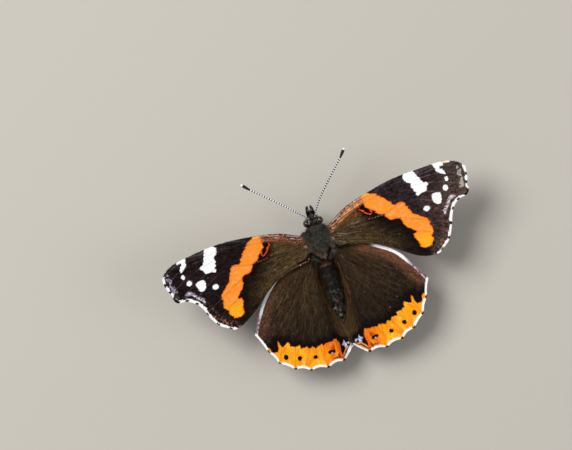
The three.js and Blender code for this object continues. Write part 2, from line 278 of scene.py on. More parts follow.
FORE_FRONT = [(2.65, 2.1), (4.7, 3.2), (7.3, 4.45), (12.6, 5.75), (18.2, 6.6), (23.1, 6.68)]
FORE_REAR = [(2.45, -2.1), (3.2, -2.9), (5.0, -3.15), (7.4, -3.5)]
FORE_TORNUS = (22.75, -11.15)
FORE_CORNER = [FORE_TORNUS, (23.8, -10.4), (25.5, -9.2)]
FOREWING = dict(
    height=forewing_height,
    turn=0.46,
    shift=(0.16, 0.22),
    hub=(-3.0, 0.5),
    fringe=0.5,
    root=[(2.45, -2.1), (2.65, 2.1)],
    costa={
        LEFT: [*FORE_FRONT, (27.8, 6.3), (30.3, 5.9), (32.3, 4.9), (33.4, 3.7)],
        RIGHT: [*FORE_FRONT, (27.8, 6.6), (30.4, 6.25), (32.5, 5.2), (33.7, 3.9)],
    },
    dorsum={
        LEFT: [*FORE_REAR, (10.2, -4.2), (13.1, -5.75), (16.15, -8.0), (19.0, -9.8), (21.0, -10.75),
               FORE_TORNUS],
        RIGHT: [*FORE_REAR, (10.2, -4.6), (13.4, -6.45), (16.0, -8.55), (18.6, -10.35), (20.6, -11.0),
                FORE_TORNUS],
    },
    termen={
        LEFT: [*FORE_CORNER, (27.0, -6.5), (27.45, -4.95), (28.8, -3.05), (30.3, -2.1), (32.1, -1.8),
               (32.6, -1.1), (32.6, -0.2), (33.1, 1.1), (33.4, 2.5), (33.4, 3.7)],
        RIGHT: [*FORE_CORNER, (27.0, -6.6), (27.8, -4.75), (28.95, -2.9), (30.5, -1.95), (32.1, -1.65),
                (32.85, -0.8), (32.8, 0.1), (33.3, 1.4), (33.6, 2.8), (33.7, 3.9)],
    },
    ticks=[(33.3, 2.4), (32.8, 0.75), (32.35, -0.75), (30.2, -2.05), (28.45, -3.45), (27.0, -6.1),
           (25.8, -8.9), (23.6, -10.6)],
    veins=[
        [(2.7, 1.7), (6.5, 3.5), (11.0, 4.9), (16.5, 6.0)],
        [(2.7, 1.3), (8.0, 3.2), (14.0, 4.55), (20.5, 6.1)],
        [(14.0, 4.55), (19.5, 5.2), (24.0, 6.3)],
        [(19.5, 5.2), (24.5, 5.5), (29.5, 5.5), (33.3, 4.0)],
        [(18.4, 4.75), (24.5, 4.8), (29.1, 4.2), (31.7, 2.95), (33.4, 2.35)],
        [(18.4, 4.4), (24.0, 3.6), (28.9, 2.1), (31.8, 0.5), (32.75, -0.7)],
        [(18.4, 3.4), (22.7, 2.2), (27.2, 0.6), (31.2, -1.7)],
        [(2.7, 0.9), (8.0, 0.85), (12.9, 0.4), (14.6, 0.45), (17.2, 1.15), (19.5, 1.5), (23.3, 0.25),
         (26.1, -1.3), (28.6, -3.0)],
        [(12.9, 0.4), (17.5, -1.5), (22.5, -3.75), (26.9, -6.0)],
        [(9.5, 0.75), (14.0, -1.9), (19.5, -5.1), (22.8, -6.6), (25.4, -8.8)],
        [(2.7, -0.9), (9.0, -2.9), (16.0, -6.9), (20.0, -9.3), (23.0, -10.8)],
        [(17.2, 1.15), (18.3, 3.0), (18.4, 4.75)],
    ],
)
HIND_FRONT = [(2.7, -0.9), (5.5, -1.7), (9.0, -3.1)]
HIND_REAR_START = (2.62, -2.7)
HIND_REAR_STATIONS = [-4.2, -6, -9, -12, -15, -16.6, -17.6, -21.6]
HIND_TICKS = [
    (0.2, -22.95), (2.78, -25.45), (6.45, -25.7), (10.11, -25.08), (13.15, -23.75), (15.9, -21.5)
]
HINDWING = dict(
    height=hindwing_height,
    turn=-0.43,
    shift=(-0.19, 0.0),
    hub=(1.5, 1.0),
    fringe=0.45,
    costa={
        LEFT: [*HIND_FRONT, (12.0, -5.1), (14.45, -7.45), (16.65, -10.3), (18.74, -14.3)],
        RIGHT: [*HIND_FRONT, (12.0, -4.85), (14.7, -7.0), (16.9, -10.2), (19.2, -14.9)],
    },
    ticks={
        LEFT: [*HIND_TICKS, (17.25, -18.5), (18.74, -14.3)],
        RIGHT: [*HIND_TICKS, (17.65, -18.45), (19.2, -14.9)],
    },
    scallops=[-0.05, 0.5, 0.45, 0.42, 0.2, 0.2, 0.12],
    veins=[
        [(2.7, -1.5), (7.0, -4.2), (13.0, -8.6), (18.1, -13.8)],
        [(2.7, -1.8), (6.5, -5.5), (12.0, -11.0), (17.1, -18.0)],
        [(6.5, -5.5), (10.5, -11.5), (15.7, -21.0)],
        [(7.4, -7.0), (9.5, -13.0), (13.05, -23.3)],
        [(2.7, -2.0), (5.2, -7.5), (7.2, -12.5), (10.0, -24.8)],
        [(6.6, -11.0), (6.9, -16.0), (6.5, -25.4)],
        [(5.2, -7.5), (4.7, -13.0), (2.85, -25.0)],
        [(2.7, -2.5), (2.8, -7.0), (2.9, -13.0), (1.95, -20.3), (0.9, -22.9)],
    ],
)
VEIN_RIDGE, VEIN_WIDTH = 0.045, 0.13
SAG, SAG_WIDTH = 0.05, 0.8


class Wing:
    """One wing's sheet in the wings' frame, with x counted outwards on either side."""

    def __init__(self, kind, plan, side):
        plan = {part: value[side] if isinstance(value, dict) else value for part, value in plan.items()}
        self.plan = plan
        self.side = side
        self.kind = kind
        self.name = f"{kind}_{SIDES[side]}"
        turn = math.radians(side * plan["turn"])
        self.spin = np.array([[math.cos(turn), math.sin(turn)], [-math.sin(turn), math.cos(turn)]])
        self.shift = side * np.array(plan["shift"])
        costa = self.posed(plan["costa"])
        self.costa = run_along(smooth_line(costa))
        if kind == "forewing":
            self.root = run_along(self.posed(plan["root"]))
            self.dorsum = run_along(smooth_line(self.posed(plan["dorsum"])))
            self.termen = run_along(smooth_line(self.posed(plan["termen"])))
        else:
            ticks = self.posed(plan["ticks"])
            y = np.array(HIND_REAR_STATIONS)
            beside_body = np.stack([side * body_line(y) + rear_edge(y), y], -1)
            rear = np.vstack([[HIND_REAR_START], beside_body, ticks[:1]])
            self.root = run_along(np.array([rear[0], costa[0]]))
            self.dorsum = run_along(smooth_line(rear))
            self.ticks = ticks
            self.termen = self.scalloped
        self.veins = [self.posed(smooth_line(line, 4)) for line in plan["veins"]]
        t = np.linspace(0, 1, 60)
        fine = np.linspace(0, 1, 180)
        self.margin = self.sheet(self.reach(fine), fine)
        rear, front = self.sheet(t * self.reach(0.0), 0.0), self.sheet(t * self.reach(1.0), 1.0)
        self.outline = np.vstack([rear, self.margin, front[::-1]])

    def posed(self, points):
        """Points of the drawn wing, turned and moved to where the butterfly holds it."""
        return np.asarray(points, float) @ self.spin + self.shift

    def unposed(self, x, y):
        """The places of points on the wing as it is drawn, before it is turned and moved."""
        flat = (np.stack([x, y], -1) - self.shift) @ self.spin.T
        return flat[..., 0], flat[..., 1]

    def scalloped(self, t):
        """The hindwing's outer edge, which curves in between the vein ends."""
        at = np.clip(t, 0, 1) * (len(self.ticks) - 1)
        span = np.minimum(np.floor(at).astype(int), len(self.ticks) - 2)
        chord = self.ticks[span + 1] - self.ticks[span]
        inwards = unit(np.stack([-chord[..., 1], chord[..., 0]], -1))
        part = (at - span)[..., None]
        dip = np.array(self.plan["scallops"])[span][..., None]
        return self.ticks[span] + chord * part + inwards * dip * np.sin(math.pi * part)

    def sheet(self, u, v):
        """Points stretched between the four edges, u from root to outer edge, v from rear to front."""
        u, v = np.broadcast_arrays(np.asarray(u, float), np.asarray(v, float))
        a, b = u[..., None], v[..., None]
        corners = self.dorsum(0.0) * (1 - a) * (1 - b) + self.dorsum(1.0) * a * (1 - b)
        corners = corners + self.costa(0.0) * (1 - a) * b + self.costa(1.0) * a * b
        across = self.dorsum(u) * (1 - b) + self.costa(u) * b
        return across + self.root(v) * (1 - a) + self.termen(v) * a - corners

    def reach(self, v):
        """How much of u the membrane fills, so that the fringe makes up the rest of the wing."""
        v = np.asarray(v, float)
        return 1 - self.plan["fringe"] / np.linalg.norm(self.termen(v) - self.root(v), axis=-1)

    def height(self, x, y):
        """The sheet's height with its veins standing up and the membrane sagging between them."""
        near = distance_to(self.veins, x, y)
        ridge = VEIN_RIDGE * np.exp(-((near / VEIN_WIDTH) ** 2))
        sag = SAG * (1 - np.exp(-((near / SAG_WIDTH) ** 2)))
        return self.plan["height"](x, y, self.side) + ridge - sag

    def surface(self, x, y):
        """Points on the sheet and the normals that point up from it."""
        step = 0.06
        z = self.height(x, y)
        slope_x = (self.height(x + step, y) - z) / step
        slope_y = (self.height(x, y + step) - z) / step
        return np.stack([x, y, z], -1), unit(np.stack([-slope_x, -slope_y, np.ones_like(z)], -1))

    def from_costa(self, x, y):
        """How far points of the drawn wing lie from its leading edge."""
        return distance_to([smooth_line(self.plan["costa"], 4)], x, y)

    def mirrored(self, vectors):
        """Points or directions of the outward frame, brought to the wing's own side."""
        return vectors * (self.side, 1, 1)


WINGS = [Wing("forewing", FOREWING, side) for side in (LEFT, RIGHT)]
WINGS += [Wing("hindwing", HINDWING, side) for side in (LEFT, RIGHT)]


# Wing colours: every scale is one plain colour, and the pattern is where each colour grows. Some of it
# is painted light: the left and right wings are painted lighter and darker as light falls on each, and
# a few painted highlights and shades are laid on where marked.
# The upper side is near-black with a broad orange band, white marks and a dark bronze base.
NOISE_CELLS = 64
# Rows of scales and streaks of colour fan out from this place behind the wing's root.
FAN_X, FAN_Y = -2, 1
FAN_REACH = 16


def mottle(x, y, size, seed):
    """Smooth noise from -1 to 1, with blotches about size millimetres across."""
    table = np.random.default_rng(seed).uniform(-1, 1, (NOISE_CELLS, NOISE_CELLS))
    i, j = np.floor(x / size).astype(int), np.floor(y / size).astype(int)
    a, b = x / size - i, y / size - j
    a, b = a * a * (3 - 2 * a), b * b * (3 - 2 * b)

    def corner(di, dj):
        return table[(i + di) % NOISE_CELLS, (j + dj) % NOISE_CELLS]

    near = corner(0, 0) * (1 - a) + corner(1, 0) * a
    far = corner(0, 1) * (1 - a) + corner(1, 1) * a
    return near * (1 - b) + far * b


def painted(ground, *coats):
    """A ground colour under coats of others, each laid on where its amount is near 1."""
    colour = srgb(ground) if isinstance(ground, str) else ground
    for amount, code in coats:
        amount = np.clip(amount, 0, 1)[..., None]
        colour = colour * (1 - amount) + srgb(code) * amount
    return colour


def ramp(value, start, end):
    """0 below start, 1 above end and smooth between."""
    t = np.clip((value - start) / (end - start), 0, 1)
    return t * t * (3 - 2 * t)


def patchy(x, y, size, seed, start, end):
    """1 in scattered blotches and 0 between them."""
    return ramp(mottle(x, y, size, seed), start, end)


def spot(x, y, centre, half_width, half_height):
    """Above zero inside an oval, in millimetres from its edge."""
    away = np.hypot((x - centre[0]) / half_width, (y - centre[1]) / half_height)
    return (1 - away) * min(half_width, half_height)


def fan(x, y, width, length, seed):
    """Noise drawn out along the lines that spread from the wing's root, in streaks of one size."""
    angle = np.arctan2(y - FAN_Y, x - FAN_X)
    return mottle(angle * FAN_REACH / width, np.hypot(x - FAN_X, y - FAN_Y) / length, 1, seed)


def grained(colour, x, y, depth, seed):
    """A colour made lighter and darker in fine short streaks, as rows of scales catch the light."""
    grain = fan(x, y, 0.2, 0.9, seed) + 0.7 * mottle(x, y, 0.24, seed + 1)
    return colour * np.clip(1 + depth * grain, 0.25, 2.5)[:, None]


def toothed(x, y, depth, seed):
    """Points shifted to and fro along the rows of scales, so that the edge of a mark has teeth."""
    angle = np.arctan2(y - FAN_Y, x - FAN_X)
    shift = depth * (fan(x, y, 0.3, 3.0, seed) + 0.6 * mottle(x, y, 0.25, seed + 1))
    return x + np.cos(angle) * shift, y + np.sin(angle) * shift


FORE_BAND = smooth_line(
    [
        (12.3, 6.4), (12.45, 5.6), (13.37, 5.22), (14.15, 4.75), (14.75, 4.12), (15.4, 3.5),
        (16.0, 2.7), (16.6, 1.98), (16.97, 1.42), (17.9, 1.52), (18.7, 1.48), (19.1, 1.1),
        (19.15, 0.7), (19.45, 0.3), (19.85, -0.5), (20.15, -1.3), (21.0, -2.06), (21.85, -2.68),
        (22.65, -3.37), (22.86, -4.15), (22.72, -4.9), (23.1, -5.7), (22.88, -6.45), (22.5, -6.85),
        (22.38, -7.7), (21.83, -8.48), (21.1, -9.02), (20.3, -9.02), (19.6, -8.5), (19.3, -7.7),
        (19.08, -6.8), (18.88, -5.72), (19.57, -5.08), (19.1, -4.65), (18.47, -3.98), (17.95, -3.28),
        (17.6, -2.4), (17.35, -1.5), (16.6, -1.22), (15.4, -1.1), (14.97, -0.6), (14.6, -0.05),
        (14.33, 0.48), (13.5, 0.68), (13.15, 1.2), (12.8, 1.68), (12.3, 2.0), (11.65, 2.35),
        (11.25, 3.1), (11.03, 3.85), (10.85, 4.4), (10.6, 6.2),
    ],
    3,
)
FORE_BAR = smooth_line(
    [
        (20.8, 7.3), (20.8, 6.6), (20.55, 6.1), (20.87, 5.25), (21.2, 4.8), (21.75, 4.33),
        (21.5, 3.67), (21.72, 2.93), (22.16, 2.32), (22.1, 1.7), (22.5, 1.5), (23.3, 1.85),
        (24.0, 1.8), (24.5, 2.0), (24.6, 2.65), (24.93, 3.3), (24.37, 3.8), (24.2, 4.2),
        (23.8, 4.85), (23.5, 5.8), (23.2, 6.3), (23.3, 7.3),
    ],
    3,
)
FORE_APEX_MARK = smooth_line(
    [
        (27.45, 7.2), (27.35, 5.9), (27.3, 5.1), (27.95, 4.4), (28.6, 3.95), (29.15, 3.75),
        (28.95, 4.6), (28.75, 4.95), (28.3, 5.3), (28.5, 5.65), (29.2, 5.6), (29.3, 6.0),
        (29.0, 7.2),
    ],
    3,
)
FORE_CREAM_EDGE = [np.array([(28.4, 6.45), (29.6, 6.25), (30.7, 6.0)])]
FORE_SPOTS = [
    ((29.0, 2.8), 0.38, 0.52),
    ((28.2, 1.15), 0.56, 0.6),
    ((23.2, -1.45), 0.68, 0.55),
]
FORE_BIG_SPOT = smooth_line(
    [
        (24.95, 0.4), (25.15, 0.8), (26.0, 0.95), (26.95, 0.5), (26.8, -0.45), (26.45, -1.3),
        (25.75, -1.4), (25.1, -0.85), (24.9, -0.1), (24.95, 0.4),
    ],
    3,
)
# The red hook and the black blobs in it sit on the inner side of the band, at the end of the cell.
FORE_HOOK = [
    smooth_line([(10.9, 4.35), (10.35, 4.2), (9.98, 3.7), (9.88, 3.2), (10.1, 2.75), (10.6, 2.5)], 4),
    smooth_line([(10.5, 2.3), (10.9, 1.85), (11.45, 1.4), (11.85, 1.3), (12.0, 1.65), (11.9, 2.1)], 4),
]
FORE_HOOK_BLACK = [((10.65, 3.55), 0.6, 0.8), ((11.4, 2.2), 0.55, 0.6), ((12.7, 1.3), 0.6, 0.5)]
FORE_LILAC = [
    smooth_line([(32.1, 4.2), (31.95, 3.3), (31.75, 2.0), (31.5, 0.5)], 4),
    smooth_line([(29.2, -1.0), (28.3, -1.15), (27.65, -2.05)], 4),
    smooth_line([(27.2, -2.5), (26.75, -3.0), (26.2, -3.9)], 4),
]
BAND_MIDDLE_Y = [-12, -9, -5, -2, 1.5, 3, 6, 8]
BAND_MIDDLE_X = [20.8, 20.8, 21, 19.5, 16.3, 13.8, 11.6, 11.4]
# Lines of coloured scales behind the leading edge, near the root: distance from the edge, half the
# width, how unbroken the line is, and its colour
COSTAL_LINES = [
    (0.2, 0.13, 0.3, "#b9a3a4"),
    (0.45, 0.12, 0.5, "#c5683a"),
    (0.68, 0.14, 0.2, "#a39e9c"),
    (0.92, 0.1, 0.2, "#b5714f"),
    (1.15, 0.12, 0.0, "#9a7a60"),
    (1.42, 0.13, 0.4, "#b95f34"),
]
RIM_WHITE = 0.28
ROOT_STREAKS = {
    LEFT: [np.array([(2.95, 0.1), (3.15, 0.1)]), np.array([(2.9, -2.5), (3.3, -2.75), (4.2, -2.9)])],
    RIGHT: [np.array([(3.85, 0.1), (4.8, -0.3), (6.0, -0.85)]), np.array([(4.0, -0.4), (5.0, -0.8)]),
            np.array([(3.5, -1.3), (5.3, -2.35)])],
}
# The left wing's marks lie a little further out than the right wing's.
MARK_LEAN = 0.12


def forewing_upper(wing, x, y, edge, vein):
    """Colours of the forewing's upper side at points of the drawn wing."""
    lean = wing.side * MARK_LEAN * ramp(1.5 - y, 0, 2)
    x, y = x + lean, y + lean
    jag_x, jag_y = toothed(x, y, 0.2, 1)
    band = depth_inside(FORE_BAND, jag_x, jag_y)
    outwards = x - np.interp(y, BAND_MIDDLE_Y, BAND_MIDDLE_X)
    streak = fan(x, y, 0.3, 1.6, 3)
    speck = mottle(x, y, 0.22, 5)
    ground = painted(
        "#2d2216",
        (0.6 + 0.45 * streak + 0.3 * speck, "#513f27"),
        (ramp(12 - x, 0, 5) * ramp(fan(x, y, 0.25, 2.5, 4), 0.35, 0.8) * 0.45, "#62512f"),
        (ramp(0.12 - vein, 0, 0.1) * patchy(x, y, 0.9, 10, -0.2, 0.6) * 0.6, "#75602f"),
    )
    if wing.side == RIGHT:
        reddish = ramp(y, 0.4, 2.0) * ramp(11.8 - x, 0, 2) * (0.6 + 0.5 * streak)
        ground = painted(ground, (reddish, "#744628"))
    ground = painted(
        ground,
        (ramp(-band, 4.0 - 0.6 * y, 1.3) * (0.9 + 0.1 * streak), "#150c07"),
        (ramp(-band, 1.9, 0.5) * 0.9, "#0d0704"),
    )
    cubitus = distance_to([smooth_line(wing.plan["veins"][7][:4], 4)], x, y)
    gold = "#8d7038" if wing.side == LEFT else "#a5977f"
    ground = painted(
        ground,
        (ramp(0.1 - cubitus, 0, 0.06) * ramp(x, 4.5, 7) * ramp(speck, -0.3, 0.4) * 0.55, gold),
    )
    # The left wing's base is painted lighter than the right's: painted light, as it falls on each side.
    ground = grained(ground, x, y, 0.55, 18) * (1.3 if wing.side == LEFT else 1.08)
    # The outer part is painted lighter on the right wing, with paler veins: painted sheen, where it catches
    # the light.
    outer = painted(
        "#150d0d" if wing.side == LEFT else "#1c1314",
        (0.5 + 0.5 * speck + 0.4 * mottle(x, y, 1.1, 6), "#231718" if wing.side == LEFT else "#33262a"),
        (0.75 * ramp(y, 4.6, 6.2) * ramp(fan(x, y, 0.3, 4.0, 12), -0.8, 0.6), "#42403f"),
        (ramp(0.13 - vein, 0, 0.1) * ramp(x, 19, 26) * (0.3 if wing.side == LEFT else 0.8), "#5b4f49"),
    )
    brown = ramp(2.4 - edge, 0.3, 2.0) * ramp(-y, 3, 7)
    outer = painted(outer, (brown * patchy(x, y, 0.3, 7, 0.0, 0.8), "#8a6044"))
    # On the right wing the outer part is painted browner as well: painted sheen.
    right_sheen = ramp(x, 20, 26) * ramp(3 - y, 0, 4) * (0.45 + 0.35 * speck) * (wing.side == RIGHT)
    outer = grained(painted(outer, (right_sheen, "#563e38")), x, y, 0.55, 20)
    colour = np.where((outwards > 0)[:, None], outer, ground)
    # Towards the tip the right wing is painted brown where the left one is black: painted sheen, where the
    # right wing catches the light.
    tip = ramp(x, 25, 30.5) * ramp(y, -6, -1) * (wing.side == RIGHT)
    colour = painted(colour, (tip * (0.4 + 0.3 * speck + 0.3 * streak), "#57493f"))
    dusting = ramp(mottle(x, y, 0.3, 8) + 0.6 * mottle(x, y, 0.7, 24), -0.3, 0.2)
    lilac = distance_to(FORE_LILAC, x, y)
    lobe = np.hypot(x - 32.1, y + 1.0)
    colour = painted(colour, (ramp(1.3 - lobe, 0, 0.5) * (0.6 + 0.4 * speck), "#55402f"))
    dust = "#a397ab" if wing.side == LEFT else "#bfaea6"
    lilac = lilac + 0.2 * mottle(x, y, 0.5, 25)
    colour = painted(
        colour,
        (ramp(0.5 - lilac, 0, 0.2) * dusting * 0.85, dust),
        (ramp(0.25 - lilac, 0, 0.15) * patchy(x, y, 0.3, 11, -0.1, 0.3), "#eee4ee"),
    )
    flecks = patchy(x, y, 0.25, 22, 0.5, 0.7) * ramp(0.3 - abs(edge - 0.45), 0, 0.2) * ramp(x, 29, 31)
    colour = painted(colour, (flecks * 0.8, "#b5b3ad"))
    # The band is bright orange, yellower at both ends, with redder rims and veins.
    orange = ramp(band, -0.03, 0.03)
    colour = painted(
        colour,
        (orange, "#fa932f"),
        (orange * ramp(-y, 5.0, 7.5) * 0.9, "#fbae1c"),
        (ramp(band, 0.3, 0.8) * patchy(x, y, 0.4, 9, 0.0, 0.8) * ramp(y, -7, -4), "#fd9f5e"),
        (orange * ramp(0.3 - band, 0, 0.25) * 0.75, "#f4650c"),
        (orange * ramp(0.09 - vein, 0, 0.08) * 0.45, "#d8600f"),
        (orange * ramp(y, 4.9, 5.6) * 0.85, "#fcc04a"),
    )
    black = np.max([spot(jag_x, jag_y, *blob) for blob in FORE_HOOK_BLACK], axis=0)
    colour = painted(colour, (ramp(black, -0.05, 0.05) * (1 - orange), "#0a0606"))
    hook = distance_to(FORE_HOOK, *toothed(x, y, 0.16, 23)) - 0.06 * mottle(x, y, 0.5, 26)
    colour = painted(colour, (ramp(0.14 - hook, 0, 0.06), "#f2510f"))
    cream = distance_to(FORE_CREAM_EDGE, x, y)
    colour = painted(colour, (ramp(0.25 - cream, 0, 0.1), "#f3e3c4"))
    marks = [depth_inside(loop, jag_x, jag_y) for loop in (FORE_BAR, FORE_APEX_MARK)]
    marks += [depth_inside(FORE_BIG_SPOT, x, y), *(spot(x, y, *mark) for mark in FORE_SPOTS)]
    white = np.max(marks, axis=0)
    colour = painted(
        colour,
        (ramp(white, -0.02, 0.05), "#fbfbfb"),
        (ramp(white, 0, 0.1) * ramp(0.1 - vein, 0, 0.1) * 0.1, "#9d99a0"),
    )
    # The leading edge near the root is combed with rusty, blue-grey and white scales along its veins.
    front = wing.from_costa(x, y)
    base = ramp(11.6 - x, 0, 1.2) * (y > 0.4)
    comb = front + 0.1 * fan(x, y, 0.5, 1.6, 13)
    dusky = "#75503c" if wing.side == LEFT else "#d0935c"
    within = base * ramp(1.7 - front, 0, 0.3)
    colour = painted(
        colour,
        (within * 0.85, dusky),
        (within * ramp(fan(x, y, 0.26, 2.2, 30) + 0.3 * speck, 0.0, 0.6) * 0.8, "#4a2a1c"),
    )
    for place, half, cover, code in COSTAL_LINES:
        broken = mottle(x + place * 9, y * 2, 0.45, 14) + 0.5 * mottle(x, y, 0.22, 15)
        broken = ramp(broken, -cover, 0.35 - cover)
        colour = painted(colour, (base * ramp(half - abs(comb - place), 0, 0.09) * broken, code))
    colour = painted(colour, (base * ramp(0.07 - vein, 0, 0.04) * ramp(front, 0.2, 0.4) * 0.8, "#221613"))
    colour = colour * np.clip(1 + 0.8 * within * mottle(x, y, 0.2, 19), 0.25, 2)[:, None]
    colour = painted(colour, (ramp(13 - x, 0, 1) * ramp(0.12 - front, 0, 0.08), "#3a2420"))
    streaks = ramp(0.13 - distance_to(ROOT_STREAKS[wing.side], x, y), 0, 0.08) * ramp(speck, -0.5, 0.2)
    colour = painted(colour, (streaks * 0.7, "#a59c98"))
    # The rear edge near the root is rolled into a rusty lip. The black in front of it is painted shade in
    # the gap between the wings, and the pale flecks on the lip are a painted highlight on its curve.
    lip = distance_to([smooth_line(FORE_REAR, 4)], x, y)
    rolled = ramp(6.4 - x, 0, 1.0)
    gap_shade = ramp(0.75 - lip, 0, 0.25) * patchy(x, y, 0.5, 28, -0.9, -0.2)
    colour = painted(colour, (rolled * gap_shade, "#0e0a08"))
    lip = rolled * ramp(0.17 - lip, 0, 0.06) * ramp(x, 3.2, 4.0)
    colour = painted(
        colour,
        (lip * 0.8, "#8a5236"),
        (lip * patchy(x, y, 0.3, 29, 0.45, 0.7), "#e8e2da"),
    )
    rim = RIM_WHITE * ramp(tick_gap(wing, x, y), 0.1, 1.0) * (1 + 0.5 * mottle(x, y, 0.6, 27))
    return painted(colour, (ramp(rim - edge, 0, 0.05) * ramp(tick_gap(wing, x, y), 0.3, 0.4), "#f8f6f2"))


# The forewing's lobe has a dark edge, with one white dash in it.
FORE_LOBE = (32.0, -1.4)
FORE_LOBE_RADIUS = 0.75
FORE_DASH = (31.3, -1.75)


def tick_gap(wing, x, y):
    """How far points lie from the dark ticks at the vein ends, and from the forewing's dark lobe."""
    ticks = wing.plan["ticks"] if wing.kind == "forewing" else wing.plan["ticks"][1:-1]
    ticks = distance_to([np.array([tick, tick]) for tick in ticks], x, y)
    if wing.kind == "hindwing":
        return ticks
    dash = np.hypot((x - FORE_DASH[0]) / 1.6, y - FORE_DASH[1])
    lobe = np.hypot(x - FORE_LOBE[0], y - FORE_LOBE[1]) - FORE_LOBE_RADIUS
    return np.minimum(ticks, np.where(dash < 0.3, 1, lobe))


HIND_BAND = smooth_line(
    [
        (17.3, -17.3), (16.8, -17.6), (16.5, -18.3), (16.0, -18.95), (15.35, -18.95), (15.0, -18.3),
        (14.85, -17.6), (14.62, -16.8), (14.45, -17.8), (14.2, -18.2), (13.3, -17.95), (12.8, -17.8),
        (12.4, -18.5), (11.75, -18.85), (10.85, -18.98), (10.4, -19.55), (9.75, -19.9),
        (9.4, -19.85), (9.05, -20.5), (8.3, -20.3), (7.9, -20.35), (7.5, -20.7), (7.0, -20.5),
        (6.5, -20.4), (5.55, -20.5), (4.2, -20.7), (3.3, -20.3), (2.75, -21.0), (2.8, -22.3),
        (3.0, -23.4), (2.6, -24.3), (2.6, -26.2), (10.0, -26.8), (16.5, -24.0), (19.5, -19.0),
    ],
    3,
)
HIND_DOTS = [((14.05, -20.47), 0.52, 0.55), ((11.45, -21.62), 0.5, 0.46), ((8.31, -22.5), 0.48, 0.44)]
HIND_EYE = (4.75, -22.55)
HIND_DASH = [smooth_line([(4.8, -24.0), (4.0, -24.05), (3.0, -24.4)], 3)]
HIND_CORNER_LINE = [smooth_line([(0.75, -23.1), (1.4, -23.0), (2.0, -23.6), (2.65, -24.4)], 3)]
HIND_LILAC = [((1.75, -22.05), 0.72, 0.8), ((0.65, -22.2), 0.5, 0.55)]
HIND_CREASE = [
    smooth_line([(2.5, -5.2), (2.67, -7.4), (2.75, -11.3), (2.5, -14.2), (1.92, -17.5), (1.55, -20.2)], 4)
]


